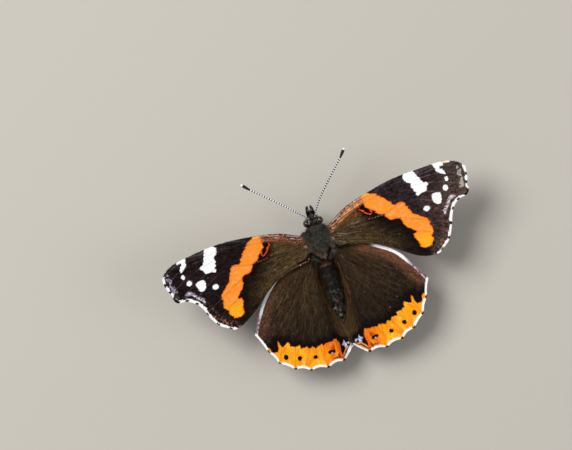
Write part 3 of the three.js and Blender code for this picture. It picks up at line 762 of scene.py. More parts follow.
def hindwing_upper(wing, x, y, edge, vein):
    """Colours of the hindwing's upper side at points of the drawn wing."""
    streak = fan(x, y, 0.34, 2.2, 31) + 0.4 * fan(x, y, 0.2, 1.2, 32)
    speck = mottle(x, y, 0.22, 33)
    jag_x, jag_y = toothed(x, y, 0.24, 34)
    band = depth_inside(HIND_BAND, jag_x, jag_y)
    front = wing.from_costa(x, y)
    ground = painted(
        "#241a12",
        (0.45 + 0.4 * streak + 0.25 * speck, "#3d2e1e"),
        (0.5 * ramp(fan(x, y, 0.22, 2.6, 35), 0.45, 0.9) * ramp(y, -19, -14), "#54432a"),
        (ramp(0.1 - vein, 0, 0.1) * 0.25 * ramp(x, 3, 5), "#5f4a30"),
        (0.55 * ramp(-y, 8, 17), "#1a110b"),
    )
    # The left hindwing is painted lighter and the right darker: painted light, as it falls on each side.
    ground = grained(ground, x, y, 0.55, 50) * (1.25 if wing.side == LEFT else 0.86)
    costal = ramp(3.6 - front, 0, 2.4) * ramp(x, 4.5, 9)
    ground = painted(
        ground,
        (costal * (0.65 + 0.35 * streak), "#583a28" if wing.side == LEFT else "#714830"),
        (costal * patchy(x, y, 0.25, 36, 0.5, 0.9) * 0.5, "#8a7068"),
        (ramp(4.0 - x, 0, 1.5) * 0.5, "#1c130d"),
    )
    shade = ramp(-band, 2.4 + 0.9 * fan(x, y, 0.6, 5.0, 37), 0.5) * ramp(-y, 13.5, 16.5)
    ground = painted(ground, (shade, "#0d0806"))
    crease = distance_to(HIND_CREASE, x + 0.12 * mottle(x, y, 0.6, 38), y)
    rust = ramp(0.18 - crease, 0, 0.12) * patchy(x, y, 0.8, 39, -0.9, 0.1)
    colour = painted(
        ground,
        (rust * 0.75, "#6e4424"),
        (ramp(0.4 - crease, 0, 0.3) * ramp(x + 0.1, 2.2, 3.0) * 0.5 * (1 - rust), "#120c08"),
    )
    # The band is orange flecked with yellow and red, and darkens to rust towards the rear corner.
    orange = ramp(band, -0.03, 0.03)
    grain = mottle(x, y, 0.25, 40)
    colour = painted(
        colour,
        (orange, "#fb9c14"),
        (orange * ramp(fan(x, y, 0.3, 1.2, 41) + 0.6 * grain, -0.2, 0.8) * 0.75, "#ffc238"),
        (orange * ramp(fan(x, y, 0.35, 1.6, 42) + 0.6 * grain, 0.15, 0.8) * 0.8, "#f07a08"),
        (orange * ramp(7.4 - x, 0, 3.4) * (0.75 + 0.25 * streak), "#e85a10"),
        (orange * ramp(5.6 - x, 0, 2.0) * ramp(fan(x, y, 0.3, 1.5, 43), -0.2, 0.5), "#8a2e0a"),
        (orange * ramp(0.09 - vein, 0, 0.08) * 0.5, "#c8640f"),
        (orange * ramp(0.2 - band, 0, 0.2) * 0.55, "#e0600c"),
    )
    dots = np.max([spot(*toothed(x, y, 0.08, 44), *dot) for dot in HIND_DOTS], axis=0)
    colour = painted(colour, (ramp(dots, -0.02, 0.05), "#0c0707"))
    eye = 0.45 - np.hypot((x - HIND_EYE[0]) * 0.55, y - HIND_EYE[1] - 0.12 * (x - HIND_EYE[0]))
    colour = painted(colour, (ramp(eye, -0.03, 0.04), "#0a0809"))
    blue = spot(x, y, (HIND_EYE[0] + 0.02, HIND_EYE[1] - 0.26), 0.24, 0.17)
    colour = painted(
        colour,
        (ramp(blue, -0.05, 0.08), "#bfc6dc"),
        (ramp(0.13 - distance_to(HIND_DASH, x, y), 0, 0.08) * 0.85, "#3a1408"),
    )
    # The rear corner is black with two speckled lilac patches, then a tan spot and a black line.
    corner = ramp(2.8 - x, 0, 0.2) * ramp(-y + 0.25 * mottle(x, y, 0.4, 45), 20.4, 20.7)
    colour = painted(colour, (corner, "#0d0909"))
    lilac = np.max([spot(jag_x, y, *patch) for patch in HIND_LILAC], axis=0)
    lilac = lilac + 0.4 * mottle(x, y, 0.42, 51)
    colour = painted(
        colour,
        (ramp(lilac, 0.1, 0.25) * patchy(x, y, 0.24, 46, -0.7, -0.2), "#b9b0cc"),
        (ramp(lilac, 0.2, 0.35) * patchy(x, y, 0.24, 47, 0.1, 0.4), "#f6f3f8"),
    )
    line = distance_to(HIND_CORNER_LINE, x, y)
    colour = painted(
        colour,
        (corner * ramp(0.45 - line, 0, 0.1) * (edge > 0.2), "#e09a4a"),
        (ramp(0.15 - line, 0, 0.05), "#0e0807"),
    )
    # The leading edge has a bright white line, a painted highlight where the curved-down edge catches the
    # light, with lilac outside it; further out the white line fades to lilac flecks.
    rim = ramp(x + 0.3 * speck, 9.6, 11.0)
    outside = ramp(0.3 - front, 0, 0.15) * rim
    colour = painted(colour, (outside * (0.6 + 0.3 * speck), "#8f7d98"))
    far = ramp(x, 15.6, 17.2)
    edge_highlight = ramp(0.36 - 0.16 * far - abs(front - 0.46), 0, 0.1) * rim
    colour = painted(
        colour,
        (edge_highlight * (1 - far), "#fbf8f6"),
        (edge_highlight * far * patchy(x, y, 0.35, 48, -0.6, 0.2), "#c3b3c2"),
    )
    gap = tick_gap(wing, x, y)
    colour = painted(colour, (ramp(0.42 - gap, 0, 0.08), "#120a09"))
    rim = 0.95 * RIM_WHITE * ramp(gap, 0.35, 1.1)
    return painted(colour, (ramp(rim - edge, 0, 0.05) * ramp(gap, 0.36, 0.42), "#f8f6f2"))


def forewing_lower(wing, x, y, edge, vein):
    """Colours of the forewing's underside: redder marks, a blue ring and a bark-brown tip."""
    jag_x, jag_y = toothed(x, y, 0.14, 51)
    band = depth_inside(FORE_BAND, jag_x, jag_y)
    ground = 0.5 + 0.4 * fan(x, y, 0.4, 1.5, 52) + 0.3 * mottle(x, y, 0.25, 53)
    colour = painted(
        "#191313",
        (ground, "#2b211f"),
        (ramp(band, -0.05, 0.1), "#e0553a"),
        (ramp(band, 0, 0.1) * ramp(y, 1, 4), "#e88672"),
    )
    marks = [depth_inside(loop, jag_x, jag_y) for loop in (FORE_BAR, FORE_APEX_MARK, FORE_BIG_SPOT)]
    marks += [spot(x, y, centre, 0.8 * wide, 0.8 * high) for centre, wide, high in FORE_SPOTS]
    ring = abs(spot(x, y, (18.0, 3.6), 1.5, 1.4))
    colour = painted(colour, (ramp(0.2 - ring, 0, 0.1) * (band < 0), "#5f7fae"))
    tip = ramp(x + 0.5 * y, 26.5, 29.5)
    bark = painted(
        "#6d5640",
        (0.5 + mottle(x, y, 1.2, 54), "#3d2e24"),
        (patchy(x, y, 0.5, 55, 0.3, 0.8), "#a39077"),
    )
    colour = colour * (1 - tip[:, None]) + bark * tip[:, None]
    colour = painted(colour, (ramp(np.max(marks, axis=0), -0.02, 0.08), "#efece6"))
    costal = ramp(0.9 - wing.from_costa(x, y), 0, 0.3)
    barred = patchy(x, y, 0.5, 56, -0.3, 0.2) * ramp(12 - x, 0, 1)
    colour = painted(colour, (costal * barred, "#b9ad98"))
    rear = ramp(-y - 0.55 * x, -9.5, -5.5) * (x < 20)
    return painted(colour, (rear * 0.7, "#6f6254"))


def hindwing_lower(wing, x, y, edge, vein):
    """Colours of the hindwing's underside: mottled like bark, with faint eye-spots inside the edge."""
    radius = np.hypot(x - 1.5, y - 1)
    wave = mottle(x, y, 2.2, 61) + 0.6 * mottle(x, y, 0.9, 62) + 0.4 * fan(x, y, 0.4, 1.0, 63)
    colour = painted(
        "#3b2e25",
        (0.5 + 0.8 * wave, "#1d1613"),
        (ramp(mottle(x, y, 1.3, 64) - 0.3 * wave, 0.25, 0.9), "#8a745a"),
        (patchy(x, y, 0.6, 65, 0.45, 0.9) * 0.7, "#5b6478"),
        (ramp(1.0 - abs(radius - 9 - mottle(x, y, 1.5, 66)), 0, 0.7) * 0.8, "#120e0d"),
        (ramp(0.8 - abs(radius - 16.5 - mottle(x, y, 1.5, 67)), 0, 0.7) * 0.6, "#9b866b"),
        (ramp(0.1 - vein, 0, 0.1) * 0.6, "#8c7a63"),
    )
    for centre in [*(dot[0] for dot in HIND_DOTS), HIND_EYE]:
        near = (centre[0] * 0.94, centre[1] * 0.95 - 0.2)
        colour = painted(
            colour,
            (ramp(spot(x, y, near, 1.15, 1.05), 0, 0.2) * 0.8, "#77684d"),
            (ramp(spot(x, y, near, 0.75, 0.7), 0, 0.1), "#17120f"),
            (ramp(spot(x, y, near, 0.3, 0.28), 0, 0.1), "#6d86a8"),
        )
    return painted(
        colour,
        (ramp(spot(x, y, (13.4, -9.2), 1.6, 1.3), 0, 0.4) * 0.9, "#c8b796"),
        (ramp(0.3 - abs(edge - 1.0), 0, 0.2) * 0.7, "#7f8598"),
        (ramp(0.35 - edge, 0, 0.2), "#2a1f18"),
    )


PATTERNS = {
    "forewing": {"upper": forewing_upper, "lower": forewing_lower},
    "hindwing": {"upper": hindwing_upper, "lower": hindwing_lower},
}


def wing_colours(wing, face, x, y):
    """Colours of points on a wing, on its upper or lower face."""
    edge = distance_to([wing.margin], x, y)
    flat_x, flat_y = wing.unposed(x, y)
    vein = distance_to(wing.veins, x, y)
    colours = PATTERNS[wing.kind][face](wing, flat_x, flat_y, edge, vein)
    # A few pale specks of dust lie on the scales.
    colours = painted(colours, (patchy(x, y, 0.2, 71, 0.955, 0.98) * 0.5, "#cfc4b8"))
    return np.clip(colours, 0, 1)


# Membranes: clear chitin about a tenth of a millimetre thick at the veins, which the scales hide
# almost everywhere. A grid is stretched over each wing sheet and given its thickness.
MEMBRANE_THICKNESS = 0.08
MEMBRANE_CELLS = (150, 110)
# Seen between the scales, the membrane is a little darker than they are.
MEMBRANE_SHADE = 0.8


def tinted_finish(name, roughness, specular):
    """A finish that takes its colour from the mesh's own tint."""
    material, tree, shader = new_material(name, roughness, specular)
    tint = add_node(tree, "ShaderNodeAttribute", attribute_name="tint")
    tree.links.new(tint.outputs["Color"], shader.inputs["Base Color"])
    return material, tree, shader


# Scale rows lie about a fifth of a millimetre apart; the bump is that fine.
membrane_finish, tree, shader = tinted_finish("scaled_wing_membrane", 0.75, 0.04)
add_grain(tree, shader, 0.2, 0.03, 0.4, 3.0)


def set_tint(mesh, colours):
    """Stores a linear colour for each vertex."""
    layer = mesh.attributes.new("tint", "FLOAT_COLOR", "POINT")
    opaque = np.column_stack([colours, np.ones(len(colours))])
    layer.data.foreach_set("color", opaque.astype(np.float32).ravel())


def vertex_places(mesh):
    """The places of a mesh's vertices, one row each."""
    places = np.empty(len(mesh.vertices) * 3)
    mesh.vertices.foreach_get("co", places)
    return places.reshape(-1, 3)


def set_vertex_places(mesh, places):
    """Moves a mesh's vertices to new places."""
    mesh.vertices.foreach_set("co", np.asarray(places, float).ravel())
    mesh.update()


def make_membrane(wing):
    """A wing's membrane, stretched over its sheet and coloured on both faces."""
    bpy.ops.object.select_all(action="DESELECT")
    bpy.ops.mesh.primitive_grid_add(
        x_subdivisions=MEMBRANE_CELLS[0], y_subdivisions=MEMBRANE_CELLS[1], size=1, location=(0, 0, 0)
    )
    piece = bpy.context.object
    piece.name = piece.data.name = wing.name + "_membrane"
    grid = vertex_places(piece.data)
    u, v = grid[:, 0] + 0.5, grid[:, 1] + 0.5
    flat = wing.sheet(u * wing.reach(v), v)
    places, _ = wing.surface(flat[:, 0], flat[:, 1])
    upper = wing_colours(wing, "upper", flat[:, 0], flat[:, 1])
    lower = wing_colours(wing, "lower", flat[:, 0], flat[:, 1])
    set_vertex_places(piece.data, to_world(wing.mirrored(places)))
    if wing.side == LEFT:
        piece.data.flip_normals()
    wall = piece.modifiers.new("wall", "SOLIDIFY")
    wall.thickness = MEMBRANE_THICKNESS * MM
    wall.offset = 0
    bpy.ops.object.modifier_apply(modifier="wall")
    mesh = piece.data
    above = np.array([[vertex.normal.z > 0] for vertex in mesh.vertices])
    set_tint(mesh, np.where(above, np.tile(upper, (2, 1)), np.tile(lower, (2, 1))) * MEMBRANE_SHADE)
    # The two faces lie side by side on the unwrap.
    layer = mesh.uv_layers[0]
    layer.name = "OFBake"
    uv = np.empty(len(mesh.loops) * 2)
    layer.data.foreach_get("uv", uv)
    uv = uv.reshape(-1, 2)
    vertex = np.empty(len(mesh.loops), int)
    mesh.loops.foreach_get("vertex_index", vertex)
    uv[:, 0] = uv[:, 0] * 0.48 + np.where(vertex < len(upper), 0.01, 0.51)
    layer.data.foreach_set("uv", uv.ravel())
    mesh.materials.append(membrane_finish)
    mesh.polygons.foreach_set("use_smooth", np.ones(len(mesh.polygons), bool))
    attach(piece, "root")
    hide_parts(wing.name)


for wing in WINGS:
    make_membrane(wing)


# Wing scales: flat chitin plates set in rows like roof tiles with their tips outwards. They are thin
# curved plates, one plain colour each, drawn about twice as long as real ones so that they show.
ROW_PITCH = 0.175
SCALE_PITCH = 0.1
SCALE_LENGTH = 0.3
SCALE_WIDTH = 0.135
# Stations along a plate: how far along, half its width, how far it rises, and its shade.
SCALE_SHAPE = [(0.0, 0.3, 0.0, 0.75), (0.55, 0.5, 0.8, 1.0), (1.0, 0.36, 1.0, 1.08)]
SCALE_RISE = 0.035
# How much dark and bright scales differ from one to the next
SCALE_VARIATION = (0.32, 0.07)
# The size of one plate's patch on the unwrap, and the part of the wings' frame that the unwrap shows
PATCH = 0.003
UNWRAP_CORNER, UNWRAP_SIZE = (-1, -27), 36
# Plates stand this far off the membrane.
PLATE_GAP = 0.004

# Scales are ribbed chitin that scatters the light, so that the wing looks like matt velvet.
scale_finish, tree, shader = tinted_finish("wing_scale_chitin", 0.7, 0.05)


def lay_plates(name, roots, forward, up, length, width, rise, shape, colours, unwrap, finish):
    """Joins many thin plates into one mesh: scales and hairs that grow from roots and point forward."""
    count, stations = len(roots), len(shape)
    across = np.cross(forward, up)
    length, width, rise = (np.broadcast_to(value, count)[:, None] for value in (length, width, rise))
    places = np.empty((count, stations, 2, 3))
    tints = np.empty((count, stations, 2, 3))
    for i, (along, half, lift, shade) in enumerate(shape):
        spine = roots + forward * length * along + up * rise * lift
        places[:, i, 0] = spine - across * width * half
        places[:, i, 1] = spine + across * width * half
        tints[:, i] = np.clip(colours * shade, 0, 1)[:, None]
    corners = np.array([[2 * i, 2 * i + 1, 2 * i + 3, 2 * i + 2] for i in range(stations - 1)])
    faces = (np.arange(count)[:, None, None] * stations * 2 + corners).reshape(-1, 4)
    mesh = bpy.data.meshes.new(name)
    mesh.vertices.add(count * stations * 2)
    mesh.vertices.foreach_set("co", to_world(places.reshape(-1, 3)).astype(np.float32).ravel())
    mesh.loops.add(faces.size)
    mesh.loops.foreach_set("vertex_index", faces.astype(np.int32).ravel())
    mesh.polygons.add(len(faces))
    mesh.polygons.foreach_set("loop_start", np.arange(0, faces.size, 4, dtype=np.int32))
    mesh.polygons.foreach_set("use_smooth", np.ones(len(faces), bool))
    mesh.update(calc_edges=True)
    set_tint(mesh, tints.reshape(-1, 3))
    side = np.tile(np.array([-0.5, 0.5, 0.5, -0.5]), len(faces)) * PATCH
    span = np.array([[i, i, i + 1, i + 1] for i in range(stations - 1)]) / (stations - 1) - 0.5
    end = np.tile(span.ravel(), count) * PATCH
    layer = mesh.uv_layers.new(name="OFBake")
    uv = np.repeat(unwrap, (stations - 1) * 4, axis=0) + np.stack([side, end], -1)
    layer.data.foreach_set("uv", uv.astype(np.float32).ravel())
    mesh.materials.append(finish)
    piece = bpy.data.objects.new(name, mesh)
    bpy.context.collection.objects.link(piece)
    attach(piece, "root")
    return piece


def unwrapped(points):
    """Places from 0 to 1 on the flat wing, for the plates' patches."""
    return np.clip((points - UNWRAP_CORNER) / UNWRAP_SIZE, 0.01, 0.99)


def scale_places(wing, rng):
    """Rows of places round the wing's hub, staggered like tiles, inside the membrane."""
    hub = np.array(wing.plan["hub"])
    low, high = wing.outline.min(0), wing.outline.max(0)
    away = wing.outline - hub
    angles = np.arctan2(away[:, 1], away[:, 0])
    radii = np.arange(np.hypot(*away.T).min(), np.hypot(*away.T).max(), ROW_PITCH)
    places = []
    for row, radius in enumerate(radii):
        step = SCALE_PITCH / radius
        angle = np.arange(angles.min(), angles.max(), step) + step * (row % 2) / 2
        angle = angle + rng.normal(0, 0.12, len(angle)) * step
        far = radius + rng.normal(0, 0.02, len(angle))
        places.append(hub + np.stack([np.cos(angle), np.sin(angle)], -1) * far[:, None])
    places = np.vstack(places)
    places = places[((places > low) & (places < high)).all(1)]
    return places[depth_inside(wing.outline[::2], *places.T) > 0.02]


def flattened(vectors, up):
    """Directions laid flat on a surface with the given normals."""
    return unit(vectors - up * (vectors * up).sum(1, keepdims=True))


def lie_on(wing, flat, face, spread, rng):
    """Roots, directions and normals of plates that lie outwards on one face of a wing."""
    points, up = wing.surface(flat[:, 0], flat[:, 1])
    away = flat - np.array(wing.plan["hub"])
    turn = np.arctan2(away[:, 1], away[:, 0]) + rng.normal(0, spread, len(flat))
    forward = np.stack([np.cos(turn), np.sin(turn), np.zeros(len(flat))], -1)
    if face == "lower":
        up = -up
    forward = flattened(forward, up)
    points = points + up * (MEMBRANE_THICKNESS / 2 + PLATE_GAP)
    return wing.mirrored(points), wing.mirrored(forward), wing.mirrored(up)


def lay_on_wing(wing, part, *plates):
    """Lays plates on a wing as one piece, which takes its finish from the wing's scales."""
    piece = lay_plates(f"{wing.name}_{part}", *plates, scale_finish)
    if wing.side == LEFT:
        piece.data.flip_normals()


def cover_wing(wing, face, seed):
    """Tiles one face of a wing with scales."""
    rng = np.random.default_rng(seed)
    flat = scale_places(wing, rng)
    roots, forward, up = lie_on(wing, flat, face, 0.09, rng)
    count = len(flat)
    colours = wing_colours(wing, face, flat[:, 0], flat[:, 1])
    # Dark scales differ more than bright ones.
    variation = np.interp(colours.mean(1), [0.05, 0.25], SCALE_VARIATION)
    colours = colours * np.clip(1 + variation * rng.normal(0, 1, count), 0.4, 1.8)[:, None]
    length = SCALE_LENGTH * rng.uniform(0.85, 1.15, count)
    width = SCALE_WIDTH * rng.uniform(0.85, 1.15, count)
    rise = SCALE_RISE * rng.uniform(0.7, 1.3, count)
    lay_on_wing(
        wing, face + "_scales", roots, forward, up, length, width, rise, SCALE_SHAPE, colours,
        unwrapped(flat),
    )


seed = 100
for wing in WINGS:
    for face in ("upper", "lower"):
        seed += 1
        cover_wing(wing, face, seed)


# Fringe: long narrow scales that stand out from the outer edge in three layers, white between the
# vein ends and black at them.
FRINGE_PITCH = 0.04
FRINGE_WIDTH = 0.085
FRINGE_RISE = 0.02
FRINGE_STEPS = 400
FRINGE_SHAPE = [(0.0, 0.45, 0.0, 0.95), (0.6, 0.5, 0.3, 1.0), (1.0, 0.38, 0.0, 1.0)]
# Half the width of the dark ticks
TICK_HALF = {"forewing": 0.36, "hindwing": 0.38}


def make_fringe(wing, seed):
    """A wing's fringe, from the membrane's edge to the outer edge of the wing."""
    rng = np.random.default_rng(seed)
    steps = np.linspace(0, 1, FRINGE_STEPS)
    edge = run_along(wing.sheet(wing.reach(steps), steps))
    tips = run_along(wing.sheet(1.0, steps))
    line = edge(steps)
    size = np.linalg.norm(np.diff(line, axis=0), axis=1).sum()
    t = np.repeat(np.linspace(0, 1, int(size / FRINGE_PITCH)), 3)
    t = np.clip(t + rng.normal(0, 0.3 * FRINGE_PITCH / size, len(t)), 0, 1)
    inset = rng.uniform(0.0, 0.15, len(t))
    start, end = edge(t), tips(t)
    away = end - start
    full = np.linalg.norm(away, axis=1)
    away /= full[:, None]
    start = start - away * inset[:, None]
    points, up = wing.surface(start[:, 0], start[:, 1])
    turn = rng.normal(0, 0.09, len(t))
    c, s = np.cos(turn), np.sin(turn)
    along, across = away.T
    forward = np.stack([along * c - across * s, along * s + across * c, np.zeros(len(t))], -1)
    forward = flattened(forward, up)
    points = points + up * rng.uniform(-0.04, 0.05, len(t))[:, None]
    half = TICK_HALF[wing.kind]
    white = ramp(tick_gap(wing, *wing.unposed(*end.T)), half - 0.05, half + 0.05)
    colours = painted("#150e0d", (white, "#fbfaf8")) * rng.normal(1, 0.04, (len(t), 1))
    length = (full + inset) * rng.uniform(0.9, 1.05, len(t))
    lay_on_wing(
        wing, "fringe", wing.mirrored(points), wing.mirrored(forward), wing.mirrored(up), length,
        FRINGE_WIDTH, FRINGE_RISE, FRINGE_SHAPE, colours, unwrapped(start),
    )


for wing in WINGS:
    seed += 1
    make_fringe(wing, seed)


# Wing hairs: long soft bronze hairs on the inner half of each wing's upper side, which lie outwards
# among the scales, and a thick fringe of them along the hindwings' inner edges that closes the gap.
WING_HAIR_SHAPE = [(0.0, 0.4, 0.0, 0.8), (0.35, 0.5, 0.8, 1.0), (0.7, 0.35, 0.9, 1.1), (1.0, 0.08, 0.2, 1.2)]
WING_HAIR_WIDTH = 0.036
WING_HAIR_RISE = 0.05
WING_HAIR_LIFT = 0.06
WING_HAIR_DENSITY = 60
# Where the inner hairs point: just across the body's line, behind the abdomen
REAR_CORNER = (-0.6, -23.5)


def hairy_places(wing, rng):
    """Roots of the long hairs, their lengths and how much each is turned towards the rear corner."""
    low, high = wing.outline.min(0), wing.outline.max(0)
    places = rng.uniform(low, high, (int(np.prod(high - low) * WING_HAIR_DENSITY), 2))
    places = places[depth_inside(wing.outline[::2], *places.T) > 0.1]
    x, y = wing.unposed(*places.T)
    band = depth_inside(FORE_BAND if wing.kind == "forewing" else HIND_BAND, x, y)
    if wing.kind == "forewing":
        chance = ramp(-band, 2.2, 5.5) * ramp(13.5 - x, 0, 6) * (y < 3.2) * ((y > -2.1) | (x > 6.5))
        inner = np.zeros(len(x))
    else:
        inner = ramp(3.2 - x, 0, 1.2) * ramp(-y, 6, 9)
        chance = ramp(-band, 1.6, 4.5) * ramp(13 - x, 0, 6) + inner * ramp(y, -20.2, -19.2)
    keep = rng.random(len(x)) < chance * (0.25 + 0.75 * inner)
    length = rng.uniform(0.8, 1.7, len(x)) * np.clip(-band / 3 + inner, 0.5, 1)
    return places[keep], length[keep], inner[keep]


def add_wing_hairs(wing, seed):
    """The long hairs of one wing's upper side."""
    rng = np.random.default_rng(seed)
    flat, length, inner = hairy_places(wing, rng)
    roots, forward, up = lie_on(wing, flat, "upper", 0.05, rng)
    # Hairs of the inner edge run to the rear corner, between the two wings.
    corner = np.array((wing.side * body_line(-22) + REAR_CORNER[0], REAR_CORNER[1]))
    corner = unit(corner - roots[:, :2])
    forward[:, :2] = forward[:, :2] * (1 - inner[:, None]) + corner * inner[:, None]
    forward = unit(forward + up * WING_HAIR_LIFT)
    base = wing_colours(wing, "upper", *flat.T)
    tone = np.clip(rng.normal(1.15, 0.55, len(flat)), 0.3, 3.2) + 0.3 * inner
    colours = painted(base, (0.2 + 0.5 * inner, "#453420")) * tone[:, None]
    lay_on_wing(
        wing, "hairs", roots + up * WING_HAIR_LIFT, forward, up, length, WING_HAIR_WIDTH, WING_HAIR_RISE,
        WING_HAIR_SHAPE, np.clip(colours, 0, 1), unwrapped(flat),
    )


for wing in WINGS:
    seed += 1
    add_wing_hairs(wing, seed)


# Body: head, thorax, abdomen and legs are one tough skin under fur and scales. Lumps and limbs are
# joined in millimetres along the body's own line, grown together into one skin and then placed.
EYE_PLACE = (1.42, 4.15, 7.0)
EYE_RADII = (0.78, 0.83, 1.01)
COAT_DEPTH = 0.2
SKIN_GRAIN = 0.073
# The skin is darker than the hairs on it.
SKIN_SHADE = 0.7
BODY_LUMPS = [
    # middle, radii
    ((0, -0.4, 6.5), (2.5, 3.05, 2.45)),
    ((0, 0.0, 5.7), (2.05, 2.9, 1.75)),
    ((0, -3.0, 7.1), (1.2, 0.95, 1.1)),
    ((0, -3.1, 6.5), (1.95, 1.5, 1.7)),
    ((0, 2.6, 6.8), (1.6, 1.1, 1.45)),
    ((0, 3.3, 6.8), (1.1, 0.9, 1.15)),
    ((0, 4.0, 6.9), (1.3, 1.15, 1.3)),
    ((0, 4.75, 6.65), (0.8, 0.6, 0.95)),
    ((0, 4.6, 5.75), (0.7, 0.55, 0.5)),
]
PAIRED_LUMPS = [
    ((1.95, 1.3, 7.75), (0.8, 1.2, 0.55)),
    ((2.2, -0.3, 7.8), (0.8, 1.7, 0.55)),
    ((2.1, -2.1, 7.05), (0.8, 1.15, 0.45)),
    ((0.45, 4.75, 7.75), (0.28, 0.3, 0.25)),
    ((1.2, 0.7, 4.65), (0.6, 0.9, 0.85)),
    ((1.15, -1.9, 4.75), (0.6, 0.9, 0.85)),
    ((0.95, 2.1, 4.9), (0.45, 0.6, 0.75)),
]
ABDOMEN_PATH = [(0, -3.5, 6.8), (0, -8.0, 7.0), (0, -13.0, 6.85), (0, -16.9, 6.5)]
SEGMENT = 1.75
SEGMENT_STEP = 0.09
PALP = ([(0.52, 4.6, 5.5), (0.53, 6.0, 6.05), (0.42, 7.4, 6.95)], [0.34, 0.33, 0.16])
FORE_FEMUR = ([(0.95, 2.0, 4.5), (1.2, 2.7, 4.1), (1.5, 3.3, 3.95)], [0.26, 0.3, 0.2])
FORE_TIBIA = ([(1.5, 3.3, 3.95), (1.4, 4.2, 4.5), (1.15, 4.9, 5.05)], [0.18, 0.24, 0.12])
LEG_POINTS = {
    "mid": [(1.2, 0.5, 4.35), (4.8, 1.8, 5.4), (7.8, 2.8, 1.1), (11.5, 4.0, 0.0)],
    "hind": [(1.2, -2.0, 4.45), (4.6, -4.6, 5.4), (6.8, -8.4, 1.1), (8.6, -12.5, 0.0)],
}
HEEL = 0.28
FOOT_RADIUS = 0.13
TARSUS_JOINTS = 5


def add_egg(middle, radii):
    """An egg-shaped lump."""
    bpy.ops.mesh.primitive_uv_sphere_add(segments=40, ring_count=24, location=middle, scale=radii)
    return bpy.context.object


def add_limb(line, radii):
    """A round limb along a line, with its radius at every point."""
    curve = bpy.data.curves.new("limb", "CURVE")
    curve.dimensions = "3D"
    curve.bevel_depth = 1
    curve.bevel_resolution = 5
    curve.use_fill_caps = True
    spline = curve.splines.new("POLY")
    spline.points.add(len(line) - 1)
    spline.points.foreach_set("co", np.column_stack([line, np.ones(len(line))]).ravel())
    spline.points.foreach_set("radius", np.asarray(radii, float))
    limb = bpy.data.objects.new("limb", curve)
    bpy.context.collection.objects.link(limb)
    bpy.ops.object.select_all(action="DESELECT")
    limb.select_set(True)
    bpy.context.view_layer.objects.active = limb
    bpy.ops.object.convert(target="MESH")
    return bpy.context.object


def join_pieces(pieces, name):
    """Makes one named piece of several."""
    bpy.ops.object.select_all(action="DESELECT")
    for piece in pieces:
        piece.select_set(True)
    bpy.context.view_layer.objects.active = pieces[0]
    bpy.ops.object.join()
    whole = bpy.context.object
    whole.name = whole.data.name = name
    return whole


def unwrap_outside(piece, gap):
    """Turns a piece's faces outwards and unwraps them, with a gap between the parts."""
    bpy.ops.object.mode_set(mode="EDIT")
    bpy.ops.mesh.select_all(action="SELECT")
    bpy.ops.mesh.normals_make_consistent(inside=False)
    bpy.ops.uv.smart_project(angle_limit=math.radians(66), island_margin=gap)
    bpy.ops.object.mode_set(mode="OBJECT")
    piece.data.uv_layers[0].name = "OFBake"


def spread(points, radii, steps=12):
    """A smooth line through points, and radii that change evenly along it."""
    line = smooth_line(points, steps)
    return line, np.interp(np.linspace(0, 1, len(line)), np.linspace(0, 1, len(radii)), radii)


def leg_lines(points):
    """Femur, tibia and tarsus of a leg that walks, and their radii."""
    hip, knee, ankle, tip = (np.array(point, float) for point in points)
    tip = tip + (0, 0, FOOT_RADIUS)
    heel = ankle + (tip - ankle) * HEEL
    heel[2] = FOOT_RADIUS
    femur = spread([hip, hip * 0.55 + knee * 0.45 + (0, 0, 0.12), knee], [0.3, 0.34, 0.27, 0.19])
    tibia = spread([knee, (knee + ankle) / 2 + (0, 0, 0.06), ankle], [0.19, 0.17, 0.18, 0.21])
    toes = np.vstack([[ankle], smooth_line([ankle * 0.45 + heel * 0.55 + (0, 0, -0.1), heel, tip], 40)])
    share = np.linspace(0, TARSUS_JOINTS, len(toes))
    return femur, tibia, (toes, FOOT_RADIUS * (0.8 + 0.22 * (share % 1)))


def abdomen_lines():
    """The abdomen's line and radii, with each ring of skin overlapping the next."""
    line = run_along(smooth_line(ABDOMEN_PATH, 40))
    t = np.linspace(0, 1, 150)
    path = line(t)
    radius = abdomen_half(path[:, 1]) - COAT_DEPTH
    ring = (ABDOMEN_FRONT - path[:, 1]) / SEGMENT % 1
    radius = radius + SEGMENT_STEP * (ring - 0.5) * np.clip(radius, 0, 1)
    return path, np.maximum(radius * np.sqrt(np.clip((1 - t) / 0.04, 0, 1)), 0.05)


limbs = [abdomen_lines()]
flow_lines = []
for side in (LEFT, RIGHT):
    mirror = np.array((side, 1, 1))
    parts = [spread(*PALP), spread(*FORE_FEMUR), spread(*FORE_TIBIA)]
    for points in LEG_POINTS.values():
        parts += leg_lines(points)
    for line, radii in parts:
        limbs.append((line * mirror, radii))
        flow_lines.append(line * mirror)
    for middle, radii in PAIRED_LUMPS:
        BODY_LUMPS.append((tuple(middle * mirror), radii))

grown = [add_egg(middle, radii) for middle, radii in BODY_LUMPS]
grown += [add_limb(line, radii) for line, radii in limbs]
skin = join_pieces(grown, "body_skin")
bpy.ops.object.transform_apply(location=True, rotation=True, scale=True)
grow = skin.modifiers.new("grow", "REMESH")
grow.mode = "VOXEL"
grow.voxel_size = SKIN_GRAIN
bpy.ops.object.modifier_apply(modifier="grow")
ease = skin.modifiers.new("ease", "SMOOTH")
ease.factor = 0.5
ease.iterations = 3
bpy.ops.object.modifier_apply(modifier="ease")
